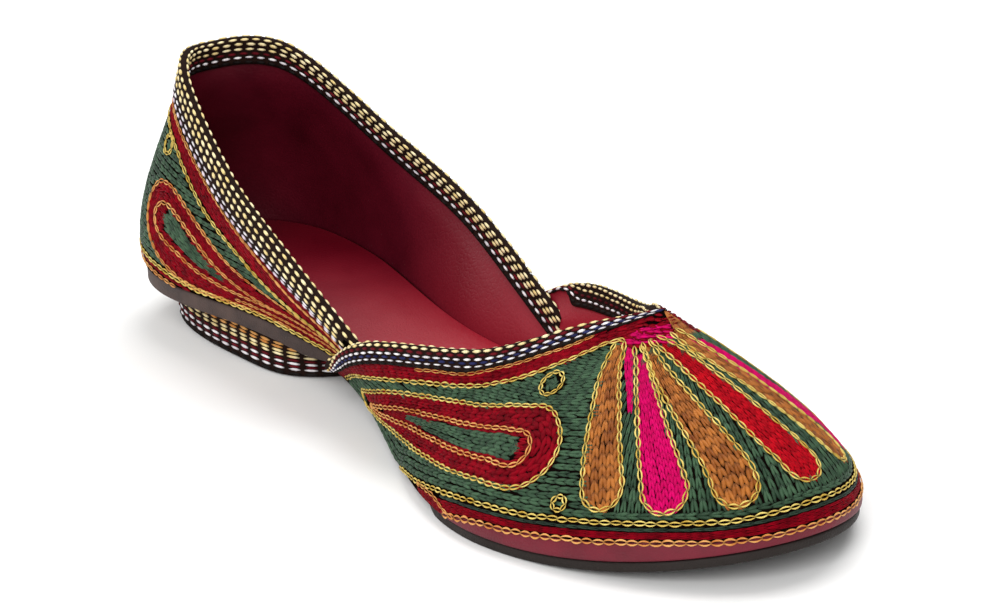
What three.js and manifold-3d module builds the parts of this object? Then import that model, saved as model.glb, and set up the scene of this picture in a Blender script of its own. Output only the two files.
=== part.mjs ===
// An embroidered open-sided flat shoe: outsole, low heel with its braid cover, insole,
// one hollow upper and the two braid bindings folded over its toplines.
// Millimetres. While the pieces are made, x runs from the back of the heel to the toe,
// y runs to the left and z runs up from the floor. The finished group is centred in x.
import * as THREE from "three";
import { mergeVertices } from "three/addons/utils/BufferGeometryUtils.js";
import Module from "manifold-3d";

const wasm = await Module();
wasm.setup();

// Last sizes
const LENGTH = 250;
const HEEL_HALF = 27.3;
const HEEL_AT = 32.5;
const WAIST_HALF = 20.2;
const WAIST_AT = 94;
const BALL_HALF = 45.8;
const BALL_AT = 184;
const HEEL_ROUND = 2.2;
const TOE_POINT = 1.65;
const SEAT_HIGH = 16.6;
const ARCH_FROM = 52;
const TREAD_HIGH = 2.8;
const TREAD_FROM = 158;
const SPRING_FROM = 192;
const TOE_SPRING = 7.8;

// Wall, plates and fits
const WALL = 2.2;
const FIT = 0.3;
const SOLE_FORE = 2.5;
const SOLE_SEAT = 4.4;
const SOLE_WAIST = 1.8;
const SOLE_THIN = { from: 100, to: 140 };
const SOLE_INSET = 0.5;
const SOLE_TUCK = { deep: 2.4, from: 80, full: 96, last: 154, to: 170 };
const SOLE_BEVEL = 0.9;
const INSOLE_THICK = 1.8;
const INSOLE_INSET = 3.9;
const QUARTER_TUCK = 1.0;
const TUCK_FROM = 78;
const TUCK_TO = 98;

// Heel block and its cover
const HEEL_BACK = 5;
const HEEL_BREAST = 80.5;
const HEEL_WIDE = 20.4;
const HEEL_WIDE_SHARE = 0.64;
const HEEL_BREAST_HALF = 9;
const HEEL_CURVE = 2.8;
const HEEL_FRONT_CURVE = 4;
const HEEL_FLARE = 0.7;
const COVER_THICK = 1.2;
const COVER_LIFT = 0.5;

// Braid bindings
const BRAID_THICK = 1.1;
const COLLAR_OUTSIDE = 8.8;
const COLLAR_INSIDE = 6.5;
const VAMP_INSIDE_MORE = 0.6;
const BRAID_LEAST = 0.6;
const MIDDLE_LAP = 0.05;
const BEHIND = 4;
const COLLAR_LEG_ENDS = { from: 107, to: 115 };
const COLLAR_END = 0.985;
const VAMP_LEG_STARTS = { from: 120, to: 132 };

// Length of the vamp braid's outside leg down a section; the sections slant to the topline near the throat
const VAMP_LEGS = [
  { x: 100, leg: 6.0 },
  { x: 130, leg: 6.0 },
  { x: 151, leg: 6.6 },
  { x: 167, leg: 9.4 },
  { x: 177, leg: 11.0 },
  { x: 184, leg: 9.2 },
  { x: 191, leg: 5.4 },
  { x: 198.8, leg: 2.4 },
];

// Where the topline of the quarter stands, from the middle of the back to its front end.
// along: share of the lower edge, x: along the shoe, half: out from the middle, high: above the floor
const COLLAR_ROWS = [
  { along: 0.0, x: 14.0, half: 0.0, high: 70.7 },
  { along: 0.25, x: 26.4, half: 16.2, high: 69.6 },
  { along: 0.5, x: 58.6, half: 25.4, high: 52.2 },
  { along: 0.75, x: 89.8, half: 28.7, high: 38.5 },
  { along: 1.0, x: 127.5, half: 27.8, high: 17.6 },
];

// Where the topline of the vamp stands, from the end of its wing to the throat.
const THROAT_ROWS = [
  { along: 0.0, x: 100.4, half: 25.8, high: 13.4 },
  { along: 0.25, x: 126.0, half: 32.1, high: 27.1 },
  { along: 0.5, x: 160.8, half: 24.0, high: 33.5 },
  { along: 0.75, x: 180.0, half: 11.6, high: 41.4 },
  { along: 1.0, x: 198.8, half: 0.0, high: 48.4 },
];
const WING_AT = 97.9;
const QUARTER_END_AT = 127.5;
const THROAT_SHARE = 0.46;
const SKIRT = { drop: 2.1, from: 132, to: 154 };

// How the sections of the upper swell between their lower edge and the topline
const COUNTER_SWELL = 4.3;
const QUARTER_SWELL = 2.4;
const SWELL_EASE = 0.6;
const FLAT_FRONT = { from: 0.7, to: 0.9 };
const QUARTER_RISE = 0.33;
const QUARTER_TOP_SWELL = 0.8;
const VAMP_SWELL = 1.5;
const VAMP_RISE_SIDE = 10.6;
const VAMP_RISE_TOE = 14.0;
const VAMP_REACH_SIDE = 0.31;
const VAMP_REACH_TOE = 0.45;
const VAMP_DROP_SIDE = 10.4;
const VAMP_DROP_TOE = 12.4;

// Counts of sections and rows
const QUARTER_STATIONS = 24;
const QUARTER_ROWS = 7;
const VAMP_STATIONS = 28;
const VAMP_ROWS = 8;
const PLATE_STATIONS = 41;
const COVER_STATIONS = 18;
const BRAID_STATIONS = 40;
const WING_STATIONS = 20;
const FAN_STATIONS = 10;
const FAN_LAP = 0.012;
const PATH_STEPS = 600;

const clamp = (t) => Math.min(Math.max(t, 0), 1);
const mix = (a, b, t) => a + (b - a) * t;
const ease = (t) => {
  const c = clamp(t);
  return c * c * (3 - 2 * c);
};
const UP = new THREE.Vector3(0, 0, 1);

// Half width of the last's lower edge at x
function halfWidth(x) {
  if (x < HEEL_AT) {
    const t = clamp((HEEL_AT - x) / HEEL_AT);
    return HEEL_HALF * Math.sqrt(Math.max(0, 1 - t ** HEEL_ROUND));
  }
  if (x < WAIST_AT) return mix(HEEL_HALF, WAIST_HALF, ease((x - HEEL_AT) / (WAIST_AT - HEEL_AT)));
  if (x < BALL_AT) return mix(WAIST_HALF, BALL_HALF, ease((x - WAIST_AT) / (BALL_AT - WAIST_AT)));
  const t = clamp((x - BALL_AT) / (LENGTH - BALL_AT));
  return BALL_HALF * Math.sqrt(Math.max(0, 1 - t ** TOE_POINT));
}

// Height of the last's lower edge: the seat, the arch, the flat tread and the toe spring
function edgeHigh(x) {
  const arch = mix(SEAT_HIGH, TREAD_HIGH, ease((x - ARCH_FROM) / (TREAD_FROM - ARCH_FROM)));
  const spring = TOE_SPRING * clamp((x - SPRING_FROM) / (LENGTH - SPRING_FROM)) ** 2;
  return arch + spring;
}

// Lower edge on one side between two places along the shoe, measured by its own length
function edgePath(from, to) {
  const points = [];
  for (let i = 0; i <= PATH_STEPS; i += 1) {
    const t = i / PATH_STEPS;
    let x = mix(from, to, t);
    if (from <= 0 && to >= LENGTH) x = LENGTH * (0.5 - 0.5 * Math.cos(Math.PI * t));
    else if (from <= 0) x = to * t * t;
    else if (to >= LENGTH) x = mix(from, to, 1 - (1 - t) ** 2);
    points.push(new THREE.Vector3(x, halfWidth(x), edgeHigh(x)));
  }
  const run = [0];
  for (let i = 1; i < points.length; i += 1) {
    run.push(run[i - 1] + Math.hypot(points[i].x - points[i - 1].x, points[i].y - points[i - 1].y));
  }
  const total = run[run.length - 1];
  return { points, share: run.map((r) => r / total) };
}

// Place on the lower edge at a share of its length, with the outward direction in plan
function edgeAt(path, along) {
  const s = clamp(along);
  let i = path.share.findIndex((v) => v >= s);
  i = Math.max(1, i);
  const a = path.points[i - 1];
  const b = path.points[i];
  const t = (s - path.share[i - 1]) / Math.max(1e-9, path.share[i] - path.share[i - 1]);
  const before = path.points[Math.max(0, i - 3)];
  const after = path.points[Math.min(path.points.length - 1, i + 2)];
  const run = new THREE.Vector3(after.x - before.x, after.y - before.y, 0).normalize();
  let out = new THREE.Vector3(-run.y, run.x, 0);
  if (s < 1e-6 && a.x < 1e-6) out = new THREE.Vector3(-1, 0, 0);
  if (s > 1 - 1e-6 && b.x > LENGTH - 1e-6) out = new THREE.Vector3(1, 0, 0);
  return { place: a.clone().lerp(b, t), out };
}

// Smooth place between the rows of a topline table; a mirrored start crosses the middle square
function rowAt(rows, along, mirrored) {
  const last = rows.length - 1;
  const s = clamp(along) * last;
  const i = Math.min(last - 1, Math.floor(s));
  const t = s - i;
  const pick = (k) => {
    if (k < 0 && mirrored) return { x: rows[-k].x, half: -rows[-k].half, high: rows[-k].high };
    if (k < 0) return extend(rows[0], rows[1]);
    if (k > last) return extend(rows[last], rows[last - 1]);
    return rows[k];
  };
  const value = (name) => {
    const [p, a, b, n] = [pick(i - 1)[name], pick(i)[name], pick(i + 1)[name], pick(i + 2)[name]];
    const m0 = (b - p) / 2;
    const m1 = (n - a) / 2;
    const t2 = t * t;
    const t3 = t2 * t;
    return (2 * t3 - 3 * t2 + 1) * a + (t3 - 2 * t2 + t) * m0 + (3 * t2 - 2 * t3) * b + (t3 - t2) * m1;
  };
  return new THREE.Vector3(value("x"), value("half"), value("high"));
}

function extend(end, inner) {
  return { x: 2 * end.x - inner.x, half: 2 * end.half - inner.half, high: 2 * end.high - inner.high };
}

// One section of the upper as a cubic curve from its lower edge to the topline
function section(foot, lower, upper, top, t) {
  const u = 1 - t;
  const p = foot.clone().multiplyScalar(u * u * u);
  p.addScaledVector(lower, 3 * u * u * t);
  p.addScaledVector(upper, 3 * u * t * t);
  p.addScaledVector(top, t * t * t);
  return p;
}

const quarterEdge = edgePath(0, QUARTER_END_AT);
const vampEdge = edgePath(WING_AT, LENGTH);
const wholeEdge = edgePath(0, LENGTH);

// Quarter: v runs from -1 (right front end) through 0 (back) to 1 (left front end), t from edge to topline;
// its front ends are flat, so that they lie inside the vamp's wings
function quarterPoint(v, t) {
  const along = Math.abs(v);
  const { place, out } = edgeAt(quarterEdge, along);
  const tuck = QUARTER_TUCK * ease((place.x - TUCK_FROM) / (TUCK_TO - TUCK_FROM));
  const foot = place.clone().addScaledVector(out, -tuck);
  const top = rowAt(COLLAR_ROWS, along, true);
  const tall = top.z - foot.z;
  const flat = ease((along - FLAT_FRONT.from) / (FLAT_FRONT.to - FLAT_FRONT.from));
  const swell = mix(COUNTER_SWELL, QUARTER_SWELL, ease(along / SWELL_EASE)) * (1 - flat);
  const lower = foot.clone().addScaledVector(out, swell).addScaledVector(UP, tall * QUARTER_RISE);
  const upper = top.clone().addScaledVector(out, swell * QUARTER_TOP_SWELL);
  upper.addScaledVector(UP, -tall * QUARTER_RISE);
  const p = section(foot, lower, upper, top, t);
  p.y *= v < 0 ? -1 : 1;
  return p;
}

// Vamp: v runs from -1 (right wing) through 0 (toe) to 1 (left wing); past the wings every section
// ends at the throat, so the sections fan out over the toe. At the waist it hangs over the edge of the sole
function vampPoint(v, t) {
  const along = 1 - Math.abs(v);
  const { place, out } = edgeAt(vampEdge, along);
  place.z -= SKIRT.drop * (1 - ease((place.x - SKIRT.from) / (SKIRT.to - SKIRT.from)));
  const top = rowAt(THROAT_ROWS, along / THROAT_SHARE, false);
  const toe = ease((along - THROAT_SHARE) / (1 - THROAT_SHARE));
  const tall = top.z - place.z;
  const rise = Math.min(mix(VAMP_RISE_SIDE, VAMP_RISE_TOE, toe), tall * 0.6);
  const drop = Math.min(mix(VAMP_DROP_SIDE, VAMP_DROP_TOE, toe), tall * 0.5);
  const reach = mix(VAMP_REACH_SIDE, VAMP_REACH_TOE, toe);
  const lower = place.clone().addScaledVector(out, VAMP_SWELL).addScaledVector(UP, rise);
  const upper = top.clone();
  upper.x += (place.x - top.x) * reach;
  upper.y += (place.y - top.y) * reach;
  upper.z -= drop;
  const p = section(place, lower, upper, top, t);
  p.y *= v < 0 ? -1 : 1;
  return p;
}

// Outward direction of a surface, from two short steps on it; the sections that meet at the throat
// turn to one common direction there
const THROAT_FACING = new THREE.Vector3(0.3, 0, 0.95).normalize();
const THROAT_NEAR = 0.7;
function outward(surface, v, t) {
  const e = 0.004;
  const tt = Math.min(t, 0.97);
  const a = surface(Math.min(1, v + e), tt).sub(surface(Math.max(-1, v - e), tt));
  const b = surface(v, Math.min(1, tt + e)).sub(surface(v, Math.max(0, tt - e)));
  const n = a.cross(b).normalize();
  if (Math.abs(v) < 1e-9) n.y = 0;
  if (surface !== vampPoint) return n.normalize();
  const along = (1 - Math.abs(v)) / THROAT_SHARE;
  const share = ease((t - THROAT_NEAR) / (1 - THROAT_NEAR)) * ease((along - THROAT_NEAR) / (1 - THROAT_NEAR));
  return n.normalize().lerp(THROAT_FACING, share).normalize();
}

// The two walls of the upper: their surface, which way its direction faces, and their counts
const quarter = { point: quarterPoint, facing: -1, stations: 2 * QUARTER_STATIONS, rows: QUARTER_ROWS };
const vamp = { point: vampPoint, facing: 1, stations: 2 * VAMP_STATIONS, rows: VAMP_ROWS };

function offsetPoint(wall, v, t, distance) {
  return wall.point(v, t).addScaledVector(outward(wall.point, v, t), distance * wall.facing);
}

// Closed body from a grid of points: rings[i] is a closed loop, the first and last are capped
function solidFromRings(rings) {
  const flat = [];
  const faces = [];
  const size = rings[0].length;
  rings.forEach((ring) => ring.forEach((p) => flat.push(p.x, p.y, p.z)));
  for (let i = 0; i < rings.length - 1; i += 1) {
    for (let j = 0; j < size; j += 1) {
      const k = (j + 1) % size;
      const a = i * size + j;
      const b = i * size + k;
      faces.push(a, b, b + size, a, b + size, a + size);
    }
  }
  const lastRing = (rings.length - 1) * size;
  capFaces(rings[0], true).forEach((f) => faces.push(f));
  capFaces(rings[rings.length - 1], false).forEach((f) => faces.push(f + lastRing));
  return solidFromFaces(flat, faces);
}

// Cap of a ring made of two facing chains: quads between the chains from end to end
function capFaces(ring, first) {
  const n = ring.length;
  const faces = [];
  for (let j = 0; j < n / 2 - 1; j += 1) {
    const a = j;
    const b = j + 1;
    const c = n - 2 - j;
    const d = n - 1 - j;
    if (first) faces.push(a, d, c, a, c, b);
    else faces.push(a, b, c, a, c, d);
  }
  return faces;
}

function solidFromFaces(flat, faces) {
  let geometry = new THREE.BufferGeometry();
  geometry.setAttribute("position", new THREE.Float32BufferAttribute(flat, 3));
  geometry.setIndex(faces);
  geometry = mergeVertices(geometry, 1e-3);
  const index = geometry.index.array;
  const kept = [];
  for (let i = 0; i < index.length; i += 3) {
    const [a, b, c] = [index[i], index[i + 1], index[i + 2]];
    if (a !== b && b !== c && c !== a) kept.push(a, b, c);
  }
  const vertProperties = new Float32Array(geometry.attributes.position.array);
  const solid = solidFromArrays(vertProperties, new Uint32Array(kept));
  if (solid.volume() >= 0) return solid;
  return solidFromArrays(vertProperties, turned(kept));
}

function solidFromArrays(vertProperties, triVerts) {
  return new wasm.Manifold(new wasm.Mesh({ numProp: 3, vertProperties, triVerts }));
}

// The same triangles facing the other way
function turned(triangles) {
  const tris = new Uint32Array(triangles);
  for (let i = 0; i < tris.length; i += 3) [tris[i + 1], tris[i + 2]] = [tris[i + 2], tris[i + 1]];
  return tris;
}

// Body between two offsets of a wall's surface: each ring holds the outer then the inner points of
// one section, and extra lengthens it at both edges
function wallSolid(wall, outer, inner, extra) {
  const rings = [];
  for (let i = 0; i <= wall.stations; i += 1) {
    const v = mix(-1, 1, i / wall.stations);
    const at = (j, distance) => {
      const t = j / wall.rows;
      return offsetPoint(wall, v, t, distance).addScaledVector(UP, extra * (2 * t - 1));
    };
    const ring = [];
    for (let j = 0; j <= wall.rows; j += 1) ring.push(at(j, outer));
    for (let j = wall.rows; j >= 0; j -= 1) ring.push(at(j, inner));
    rings.push(ring);
  }
  return solidFromRings(rings);
}

const upperSolid = wallSolid(quarter, 0, -WALL, 0).add(wallSolid(vamp, 0, -WALL, 0));

// Share t of a section that lies a distance down from the topline
function sectionShare(surface, v, down) {
  const steps = 60;
  let run = 0;
  let before = surface(v, 1);
  for (let i = steps - 1; i >= 0; i -= 1) {
    const here = surface(v, i / steps);
    const step = here.distanceTo(before);
    if (run + step >= down) return (i + 1 - (down - run) / step) / steps;
    run += step;
    before = here;
  }
  return 0;
}

// Braid folded over a topline: outside leg, fold and inside leg, kept FIT away from the wall.
// legs gives the length of the two legs at a place along the shoe.
function braidSolid(wall, stations, legs, grow) {
  const surface = wall.point;
  const near = FIT - grow;
  const far = FIT + BRAID_THICK + grow;
  const rings = [];
  stations.forEach((v) => {
    const n = outward(surface, v, 0.97).multiplyScalar(wall.facing);
    const top = surface(v, 1);
    const tall = sectionLength(surface, v);
    const down = top.clone().sub(surface(v, 0.94)).normalize();
    const outLeg = Math.min(legs(top.x).outside, tall * 0.85) + grow;
    const inLeg = Math.min(legs(top.x).inside, tall * 0.7) + grow;
    const leg = (length, distance) => [1, 0.5].map((s) => {
      return offsetPoint(wall, v, sectionShare(surface, v, length * s), distance);
    });
    const over = (distance, lift) => top.clone().addScaledVector(n, distance).addScaledVector(down, lift);
    const outside = leg(outLeg, far);
    const inside = leg(inLeg, -WALL - far).reverse();
    const insideBack = leg(inLeg, -WALL - near);
    const outsideBack = leg(outLeg, near).reverse();
    const ring = [
      ...outside,
      over(far, 0),
      over(far * 0.55, far),
      over(-WALL - far * 0.55, far),
      over(-WALL - far, 0),
      ...inside,
      ...insideBack,
      over(-WALL - near, 0),
      over(-WALL - near, near),
      over(near, near),
      over(near, 0),
      ...outsideBack,
    ];
    rings.push(ring);
  });
  return solidFromRings(rings);
}

function sectionLength(surface, v) {
  let run = 0;
  for (let i = 0; i < 40; i += 1) run += surface(v, i / 40).distanceTo(surface(v, (i + 1) / 40));
  return run;
}

function mirrored(solid) {
  const mesh = solid.getMesh();
  const props = new Float32Array(mesh.vertProperties);
  for (let i = 1; i < props.length; i += 3) props[i] *= -1;
  return solidFromArrays(props, turned(mesh.triVerts));
}

// Box body used only to cut at the middle plane
function sideBox(side) {
  const box = new THREE.BoxGeometry(2 * LENGTH, LENGTH, LENGTH);
  box.translate(LENGTH / 2, side * (LENGTH / 2 - MIDDLE_LAP), LENGTH / 2 - 20);
  box.deleteAttribute("normal");
  box.deleteAttribute("uv");
  return solidFromFaces(Array.from(box.attributes.position.array), Array.from(box.index.array));
}

// The vamp braid runs up each wing to the throat; there its two legs turn round the point of the throat
const rightSide = sideBox(-1);
const vampStations = [];
for (let i = 0; i <= WING_STATIONS; i += 1) vampStations.push(-1 + THROAT_SHARE * i / WING_STATIONS);
const fanStations = [];
const fanEnd = 1 - THROAT_SHARE + FAN_LAP;
for (let i = 0; i <= FAN_STATIONS; i += 1) fanStations.push(mix(-fanEnd, fanEnd, i / FAN_STATIONS));

// One leg of the braid round the throat, between two distances from the vamp's surface
function fanSolid(leg, near, far) {
  const shares = [1, 0.5, 0];
  return solidFromRings(fanStations.map((v) => {
    const at = (s, d) => offsetPoint(vamp, v, sectionShare(vampPoint, v, leg * s), d);
    const low = shares.map((s) => at(s, near));
    const high = shares.map((s) => at(s, far)).reverse();
    return [...low, ...high];
  }));
}

function vampLeg(x) {
  const last = VAMP_LEGS.length - 1;
  const i = VAMP_LEGS.findIndex((row) => row.x >= x);
  if (i < 0) return VAMP_LEGS[last].leg;
  if (i === 0) return VAMP_LEGS[0].leg;
  const a = VAMP_LEGS[i - 1];
  const b = VAMP_LEGS[i];
  return mix(a.leg, b.leg, ease((x - a.x) / (b.x - a.x)));
}

const vampLegs = (x) => {
  const { from, to } = VAMP_LEG_STARTS;
  const inside = (vampLeg(x) + VAMP_INSIDE_MORE) * ease((x - from) / (to - from));
  return { outside: vampLeg(x), inside: Math.max(BRAID_LEAST, inside) };
};
function vampBraid(grow) {
  const half = braidSolid(vamp, vampStations, vampLegs, grow).intersect(rightSide);
  const near = FIT - grow;
  const far = FIT + BRAID_THICK + grow;
  const tip = vampLeg(LENGTH);
  const outside = fanSolid(tip + grow, near, far);
  const inside = fanSolid(tip + VAMP_INSIDE_MORE + grow, -WALL - far, -WALL - near);
  return half.add(mirrored(half)).add(outside).add(inside);
}

// The collar braid runs whole round the back; its outside leg ends where the vamp's wing covers it
const collarStations = [];
for (let i = 0; i <= BRAID_STATIONS; i += 1) collarStations.push(mix(-COLLAR_END, COLLAR_END, i / BRAID_STATIONS));
const collarLegs = (x) => {
  const { from, to } = COLLAR_LEG_ENDS;
  const outside = 1 - ease((x - from) / (to - from));
  return { outside: Math.max(BRAID_LEAST, COLLAR_OUTSIDE * outside), inside: COLLAR_INSIDE };
};

// Room taken up by each wall with its fit; what lies behind it is cut from the other wall's braid too
const quarterRoom = wallSolid(quarter, FIT, -WALL - BEHIND, FIT);
const vampRoom = wallSolid(vamp, BEHIND, -WALL - FIT, FIT);
const quarterClear = wallSolid(quarter, FIT / 2, -WALL - FIT / 2, FIT);
const vampClear = wallSolid(vamp, FIT / 2, -WALL - FIT / 2, FIT);
const vampBindingSolid = vampBraid(0).subtract(quarterRoom).subtract(vampClear).subtract(upperSolid);
const collarWhole = braidSolid(quarter, collarStations, collarLegs, 0);
const collarBindingSolid = collarWhole.subtract(quarterClear).subtract(vampRoom).subtract(vampBraid(FIT));

// Plate with the last's outline: levels list how far each edge line is set in and its height at x
function plateSolid(levels, from, to) {
  const rings = [];
  for (let i = 0; i <= PLATE_STATIONS; i += 1) {
    const along = 0.5 - 0.5 * Math.cos(Math.PI * i / PLATE_STATIONS);
    const { place, out } = edgeAt(wholeEdge, mix(from, to, along));
    const right = [];
    const left = [];
    levels.forEach((level) => {
      const p = place.clone().addScaledVector(out, -level.inset(place.x));
      const half = Math.max(0, p.y);
      right.push(new THREE.Vector3(p.x, -half, level.high(p.x)));
      left.push(new THREE.Vector3(p.x, half, level.high(p.x)));
    });
    rings.push([...right, ...left.reverse()]);
  }
  return solidFromRings(rings);
}

function soleThick(x) {
  const waist = mix(SOLE_SEAT, SOLE_WAIST, ease((x - HEEL_BREAST) / (SOLE_THIN.from - HEEL_BREAST)));
  return mix(waist, SOLE_FORE, ease((x - SOLE_THIN.to) / (TREAD_FROM - SOLE_THIN.to)));
}

// The sole is drawn in at the waist, where the vamp covers its edge
function soleInset(x) {
  const { deep, from, full, last, to } = SOLE_TUCK;
  return SOLE_INSET + deep * ease((x - from) / (full - from)) * (1 - ease((x - last) / (to - last)));
}

const insoleInset = () => INSOLE_INSET;
const soleTop = (x) => edgeHigh(x) - FIT;
const soleUnder = (x) => soleTop(x) - soleThick(x);
const soleSolid = plateSolid([
  { inset: soleInset, high: soleTop },
  { inset: soleInset, high: (x) => soleUnder(x) + SOLE_BEVEL },
  { inset: (x) => soleInset(x) + SOLE_BEVEL, high: soleUnder },
], 0, 1);
const insoleSolid = plateSolid([
  { inset: insoleInset, high: (x) => edgeHigh(x) + INSOLE_THICK },
  { inset: insoleInset, high: (x) => edgeHigh(x) },
], 0, 1);

// Outline of the heel at a share of its length, set in by an amount
function heelHalf(share) {
  const round = clamp(1 - share / HEEL_WIDE_SHARE);
  const wide = HEEL_WIDE * Math.sqrt(Math.max(0, 1 - round ** HEEL_CURVE));
  const narrow = clamp((share - HEEL_WIDE_SHARE) / (1 - HEEL_WIDE_SHARE));
  return wide - (HEEL_WIDE - HEEL_BREAST_HALF) * narrow ** HEEL_FRONT_CURVE;
}

function heelLine(inset) {
  const line = [];
  const long = HEEL_BREAST - HEEL_BACK;
  for (let i = 0; i <= COVER_STATIONS; i += 1) {
    const share = 0.5 - 0.5 * Math.cos(Math.PI * i / COVER_STATIONS);
    const e = 1e-3;
    const dx = 2 * e * long;
    const dy = heelHalf(share + e) - heelHalf(Math.max(0, share - e));
    const size = Math.hypot(dx, dy);
    const out = i === 0 ? { x: -1, y: 0 } : { x: -dy / size, y: dx / size };
    const x = HEEL_BACK + share * long - out.x * inset;
    const y = heelHalf(share) - out.y * inset;
    line.push({ x, y: i === 0 ? 0 : y, out });
  }
  return line;
}

const heelTop = (x) => soleUnder(x) - FIT;
const heelSolid = solidFromRings(heelLine(COVER_THICK + FIT).map((p) => {
  const top = heelTop(p.x);
  return [
    new THREE.Vector3(p.x, -p.y, top),
    new THREE.Vector3(p.x, -p.y, 0),
    new THREE.Vector3(p.x, p.y, 0),
    new THREE.Vector3(p.x, p.y, top),
  ];
}));

// Cover wrapped round the heel from breast to breast, a little wider at the top
function coverRing(p, inner, side) {
  const top = heelTop(p.x);
  const at = (q, flare, z) => new THREE.Vector3(q.x + p.out.x * flare, side * (q.y + p.out.y * flare), z);
  const outside = [at(p, 0, COVER_LIFT), at(p, HEEL_FLARE, top)];
  const inside = [at(inner, 0, heelTop(inner.x)), at(inner, 0, COVER_LIFT)];
  return [...outside, ...inside];
}
const outerLine = heelLine(0);
const innerLine = heelLine(COVER_THICK);
const coverRings = [];
for (let i = COVER_STATIONS; i > 0; i -= 1) coverRings.push(coverRing(outerLine[i], innerLine[i], -1));
for (let i = 0; i <= COVER_STATIONS; i += 1) coverRings.push(coverRing(outerLine[i], innerLine[i], 1));
const coverSolid = solidFromRings(coverRings);

// Finished meshes with their materials
const MATERIALS = {
  outsole: { color: 0x4a3d33, roughness: 0.7 },
  heel: { color: 0x3a2a20, roughness: 0.75 },
  heel_cover: { color: 0x6a4a34, roughness: 0.85 },
  insole: { color: 0xa01f35, roughness: 0.5 },
  upper: { color: 0x3f5a40, roughness: 0.8 },
  vamp_binding: { color: 0x3a3048, roughness: 0.85 },
  collar_binding: { color: 0x6a5a40, roughness: 0.85 },
};

function finish(name, solid) {
  const mesh = solid.getMesh();
  const geometry = new THREE.BufferGeometry();
  geometry.setAttribute("position", new THREE.Float32BufferAttribute(mesh.vertProperties, 3));
  geometry.setIndex(Array.from(mesh.triVerts));
  geometry.computeVertexNormals();
  const part = new THREE.Mesh(geometry, new THREE.MeshStandardMaterial(MATERIALS[name]));
  part.name = name;
  return part;
}

const group = new THREE.Group();
group.name = "embroidered_flat";
group.add(finish("outsole", soleSolid));
group.add(finish("heel", heelSolid));
group.add(finish("heel_cover", coverSolid));
group.add(finish("insole", insoleSolid));
group.add(finish("upper", upperSolid));
group.add(finish("vamp_binding", vampBindingSolid));
group.add(finish("collar_binding", collarBindingSolid));

// Centre the shoe along its length, so that the origin is the middle of the floor under it
const box = new THREE.Box3().setFromObject(group);
const middle = (box.min.x + box.max.x) / 2;
group.children.forEach((part) => part.geometry.translate(-middle, 0, 0));

export default group;
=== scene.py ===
# %% [markdown]
# # An embroidered flat shoe
# This lesson dresses the solids of a flat shoe: a leather sole on a low heel, a hollow upper in two walls
# worked all over in chain stitch, and braid folded over its edges. The solids are loaded first, and every
# piece below is made in the same place, so that nothing has to be fitted by eye.

# %% Load the solids
import math

import bmesh
import bpy
import numpy as np
from mathutils import Matrix, Vector


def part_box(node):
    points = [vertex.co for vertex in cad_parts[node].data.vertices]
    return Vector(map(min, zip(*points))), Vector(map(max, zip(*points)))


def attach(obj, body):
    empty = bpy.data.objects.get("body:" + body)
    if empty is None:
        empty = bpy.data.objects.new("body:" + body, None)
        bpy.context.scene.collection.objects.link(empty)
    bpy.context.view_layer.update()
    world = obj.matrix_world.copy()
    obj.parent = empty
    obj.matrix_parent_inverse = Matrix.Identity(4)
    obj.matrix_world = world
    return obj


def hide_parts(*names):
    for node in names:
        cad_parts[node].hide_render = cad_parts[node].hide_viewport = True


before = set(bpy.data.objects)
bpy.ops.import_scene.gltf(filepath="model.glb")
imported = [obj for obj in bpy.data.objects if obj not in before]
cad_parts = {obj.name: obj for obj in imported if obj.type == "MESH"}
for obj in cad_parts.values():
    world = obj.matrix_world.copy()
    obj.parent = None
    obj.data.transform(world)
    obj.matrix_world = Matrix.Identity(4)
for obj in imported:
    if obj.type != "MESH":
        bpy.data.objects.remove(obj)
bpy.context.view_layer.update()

MM = 0.001
print("solids:", sorted(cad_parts))

# %% [markdown]
# ## The last
# A shoe is built round a last, a wooden foot. Its lower edge is the line where the upper meets the sole:
# wide at the ball, narrow at the waist, level under the heel, then falling over the arch and rising at the
# toe. It could be traced point by point, but a few sizes in millimetres with smooth ramps between them are
# easier to change. Here x runs from the back of the heel, y to the left and z up.

# %% Outline of the last
LENGTH = 250.0
HEEL_HALF, HEEL_AT, HEEL_ROUND = 27.3, 32.5, 2.2
WAIST_HALF, WAIST_AT = 20.2, 94.0
BALL_HALF, BALL_AT, TOE_POINT = 45.8, 184.0, 1.65
SEAT_HIGH, ARCH_FROM = 16.6, 52.0
TREAD_HIGH, TREAD_FROM = 2.8, 158.0
SPRING_FROM, TOE_SPRING = 192.0, 7.8
SOLE_INSET = 0.5
MIDDLE = SOLE_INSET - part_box("outsole")[0][0] / MM
UP = np.array([0.0, 0.0, 1.0])


def mix(a, b, t):
    return a + (b - a) * t


def ramp(x, start, end):
    """Goes smoothly from 0 at start to 1 at end."""
    t = np.clip((x - start) / (end - start), 0, 1)
    return t * t * (3 - 2 * t)


def half_width(x):
    heel = HEEL_HALF * np.sqrt(1 - np.clip((HEEL_AT - x) / HEEL_AT, 0, 1) ** HEEL_ROUND)
    waist = mix(HEEL_HALF, WAIST_HALF, ramp(x, HEEL_AT, WAIST_AT))
    ball = mix(WAIST_HALF, BALL_HALF, ramp(x, WAIST_AT, BALL_AT))
    toe = BALL_HALF * np.sqrt(1 - np.clip((x - BALL_AT) / (LENGTH - BALL_AT), 0, 1) ** TOE_POINT)
    return np.select([x < HEEL_AT, x < WAIST_AT, x < BALL_AT], [heel, waist, ball], toe)


def edge_high(x):
    arch = mix(SEAT_HIGH, TREAD_HIGH, ramp(x, ARCH_FROM, TREAD_FROM))
    return arch + TOE_SPRING * np.clip((x - SPRING_FROM) / (LENGTH - SPRING_FROM), 0, 1) ** 2


print("middle of the shoe at", round(MIDDLE, 2), "mm from the back")


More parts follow.
